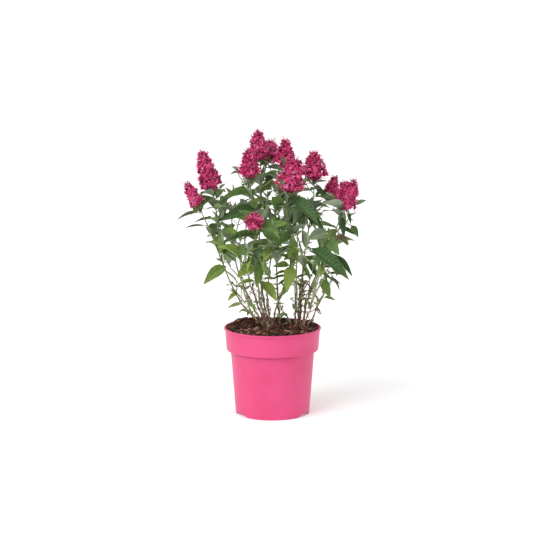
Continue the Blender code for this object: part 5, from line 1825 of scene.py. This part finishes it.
def barkPaint(name, low, high):
    paint = Paint(name, bark["brown"], {"Roughness": 0.8, "Specular IOR Level": 0.25})
    fibre = paint.grain(900.0, stretch=(1.0, 1.0, 0.16), detail=5.0)
    patches = paint.grain(170.0, stretch=(1.0, 1.0, 0.5), detail=2.0)
    wood = paint.blend(fibre.ramp(0.35, 0.62), bark["dark"], bark["brown"])
    wood = paint.blend(patches.ramp(0.52, 0.62) * 0.8, wood, bark["tan"])
    skin = paint.blend(patches.ramp(0.3, 0.7), bark["olive"], bark["green"])
    ageing = (paint.height() + (patches - 0.5) * 0.03).ramp(low, high)
    paint.feed("Base Color", paint.blend(ageing, wood, skin))
    paint.bump(fibre, 0.0004)
    return paint


def caneLine(foot, bend, tip, radius):
    # the cane's middle line, crooked but for its two ends
    path = canePath(foot, bend, tip)
    points = smoothPath([path[0] - sky * bark["rooted"], *path], bark["spacing"])
    length = lengthOf(points)
    apart = Vector((0.0, 0.0, radius * 1000))
    for number, point in enumerate(points):
        share = number / (len(points) - 1)
        ease = min(1.0, bark["crookEase"] * share, bark["crookEase"] * (1 - share))
        point += noise.noise_vector(point * bark["crookScale"] + apart) * bark["crook"] * ease
    return points, length


def caneRadii(count, length, radius, rng):
    # tapered, flared at the foot and swollen at the old leaf nodes
    endRadius = min(rule["twigRadius"], radius)
    nodes = []
    place = rng.uniform(*bark["firstNode"])
    while place < length:
        nodes.append(place)
        place += bark["nodeEvery"] * rng.uniform(*bark["nodeGaps"])
    radii = []
    for step in range(count):
        along = step / (count - 1) * length
        size = radius + (endRadius - radius) * along / length
        size *= 1 + (bark["flare"] - 1) * math.exp(-(along / bark["flareLength"]) ** 2)
        size *= 1 + sum(bark["nodeSwell"] * math.exp(-((along - node) / bark["nodeWidth"]) ** 2)
                        for node in nodes)
        radii.append(size)
    return radii


def roughen(mesh, radius, low, high):
    # lumps and cracks in the bark, less and less from the brown to the green
    normals = [vert.normal.copy() for vert in mesh.vertices]
    for vert, normal in zip(mesh.vertices, normals):
        x, y, z = vert.co
        rough = 1 - max(0.0, min(bark["smoothest"], (z - low) / (high - low)))
        lump, crack = (noise.noise(Vector((x * a, y * b, z * c)))
                       for a, b, c in (bark["lumpScale"], bark["crackScale"]))
        cut = bark["fissure"] * max(0.0, bark["crackWidth"] - abs(crack)) / bark["crackWidth"]
        depth = bark["relief"] * lump - cut * bark["crackDepth"]
        vert.co += normal * radius * depth * rough


def makeCane(name, foot, bend, tip, radius, greening):
    rng = random.Random(sum(map(ord, name)))
    points, length = caneLine(foot, bend, tip, radius)
    curve = newTubes(f"cane_{name}_bark", bark["sides"], [barkPaint("bark " + name, *greening)])
    addTube(curve, points, caneRadii(len(points), length, radius, rng))
    mesh = taken(curve)
    roughen(mesh, radius, *greening)
    finish(smoothed(mesh, 60), "cane_bark", "cane_" + name)


def makeBareTwigs():
    paint = barkPaint("bark of bare twigs", *bark["twigGreening"])
    curve = newTubes("bare_twigs", bark["twigSides"], [paint])
    for mass in crown:
        sized = [(lowGrowth["twigRadius"], path) for path in mass.bareTwigs]
        sized += [(lowGrowth["longTwig"], path) for path in mass.longTwigs]
        for radius, path in sized:
            radii = [radius * (1.3 - 0.6 * step / len(path)) for step in range(len(path))]
            addTube(curve, path, radii)
    finish(smoothed(taken(curve), 40), "cane_bark")


noise.seed_set(bark["seed"])    # unseeded, noise_vector starts from the clock at each run
for name, sizes in canes.items():
    makeCane(name, *sizes)
makeBareTwigs()
print("canes made")
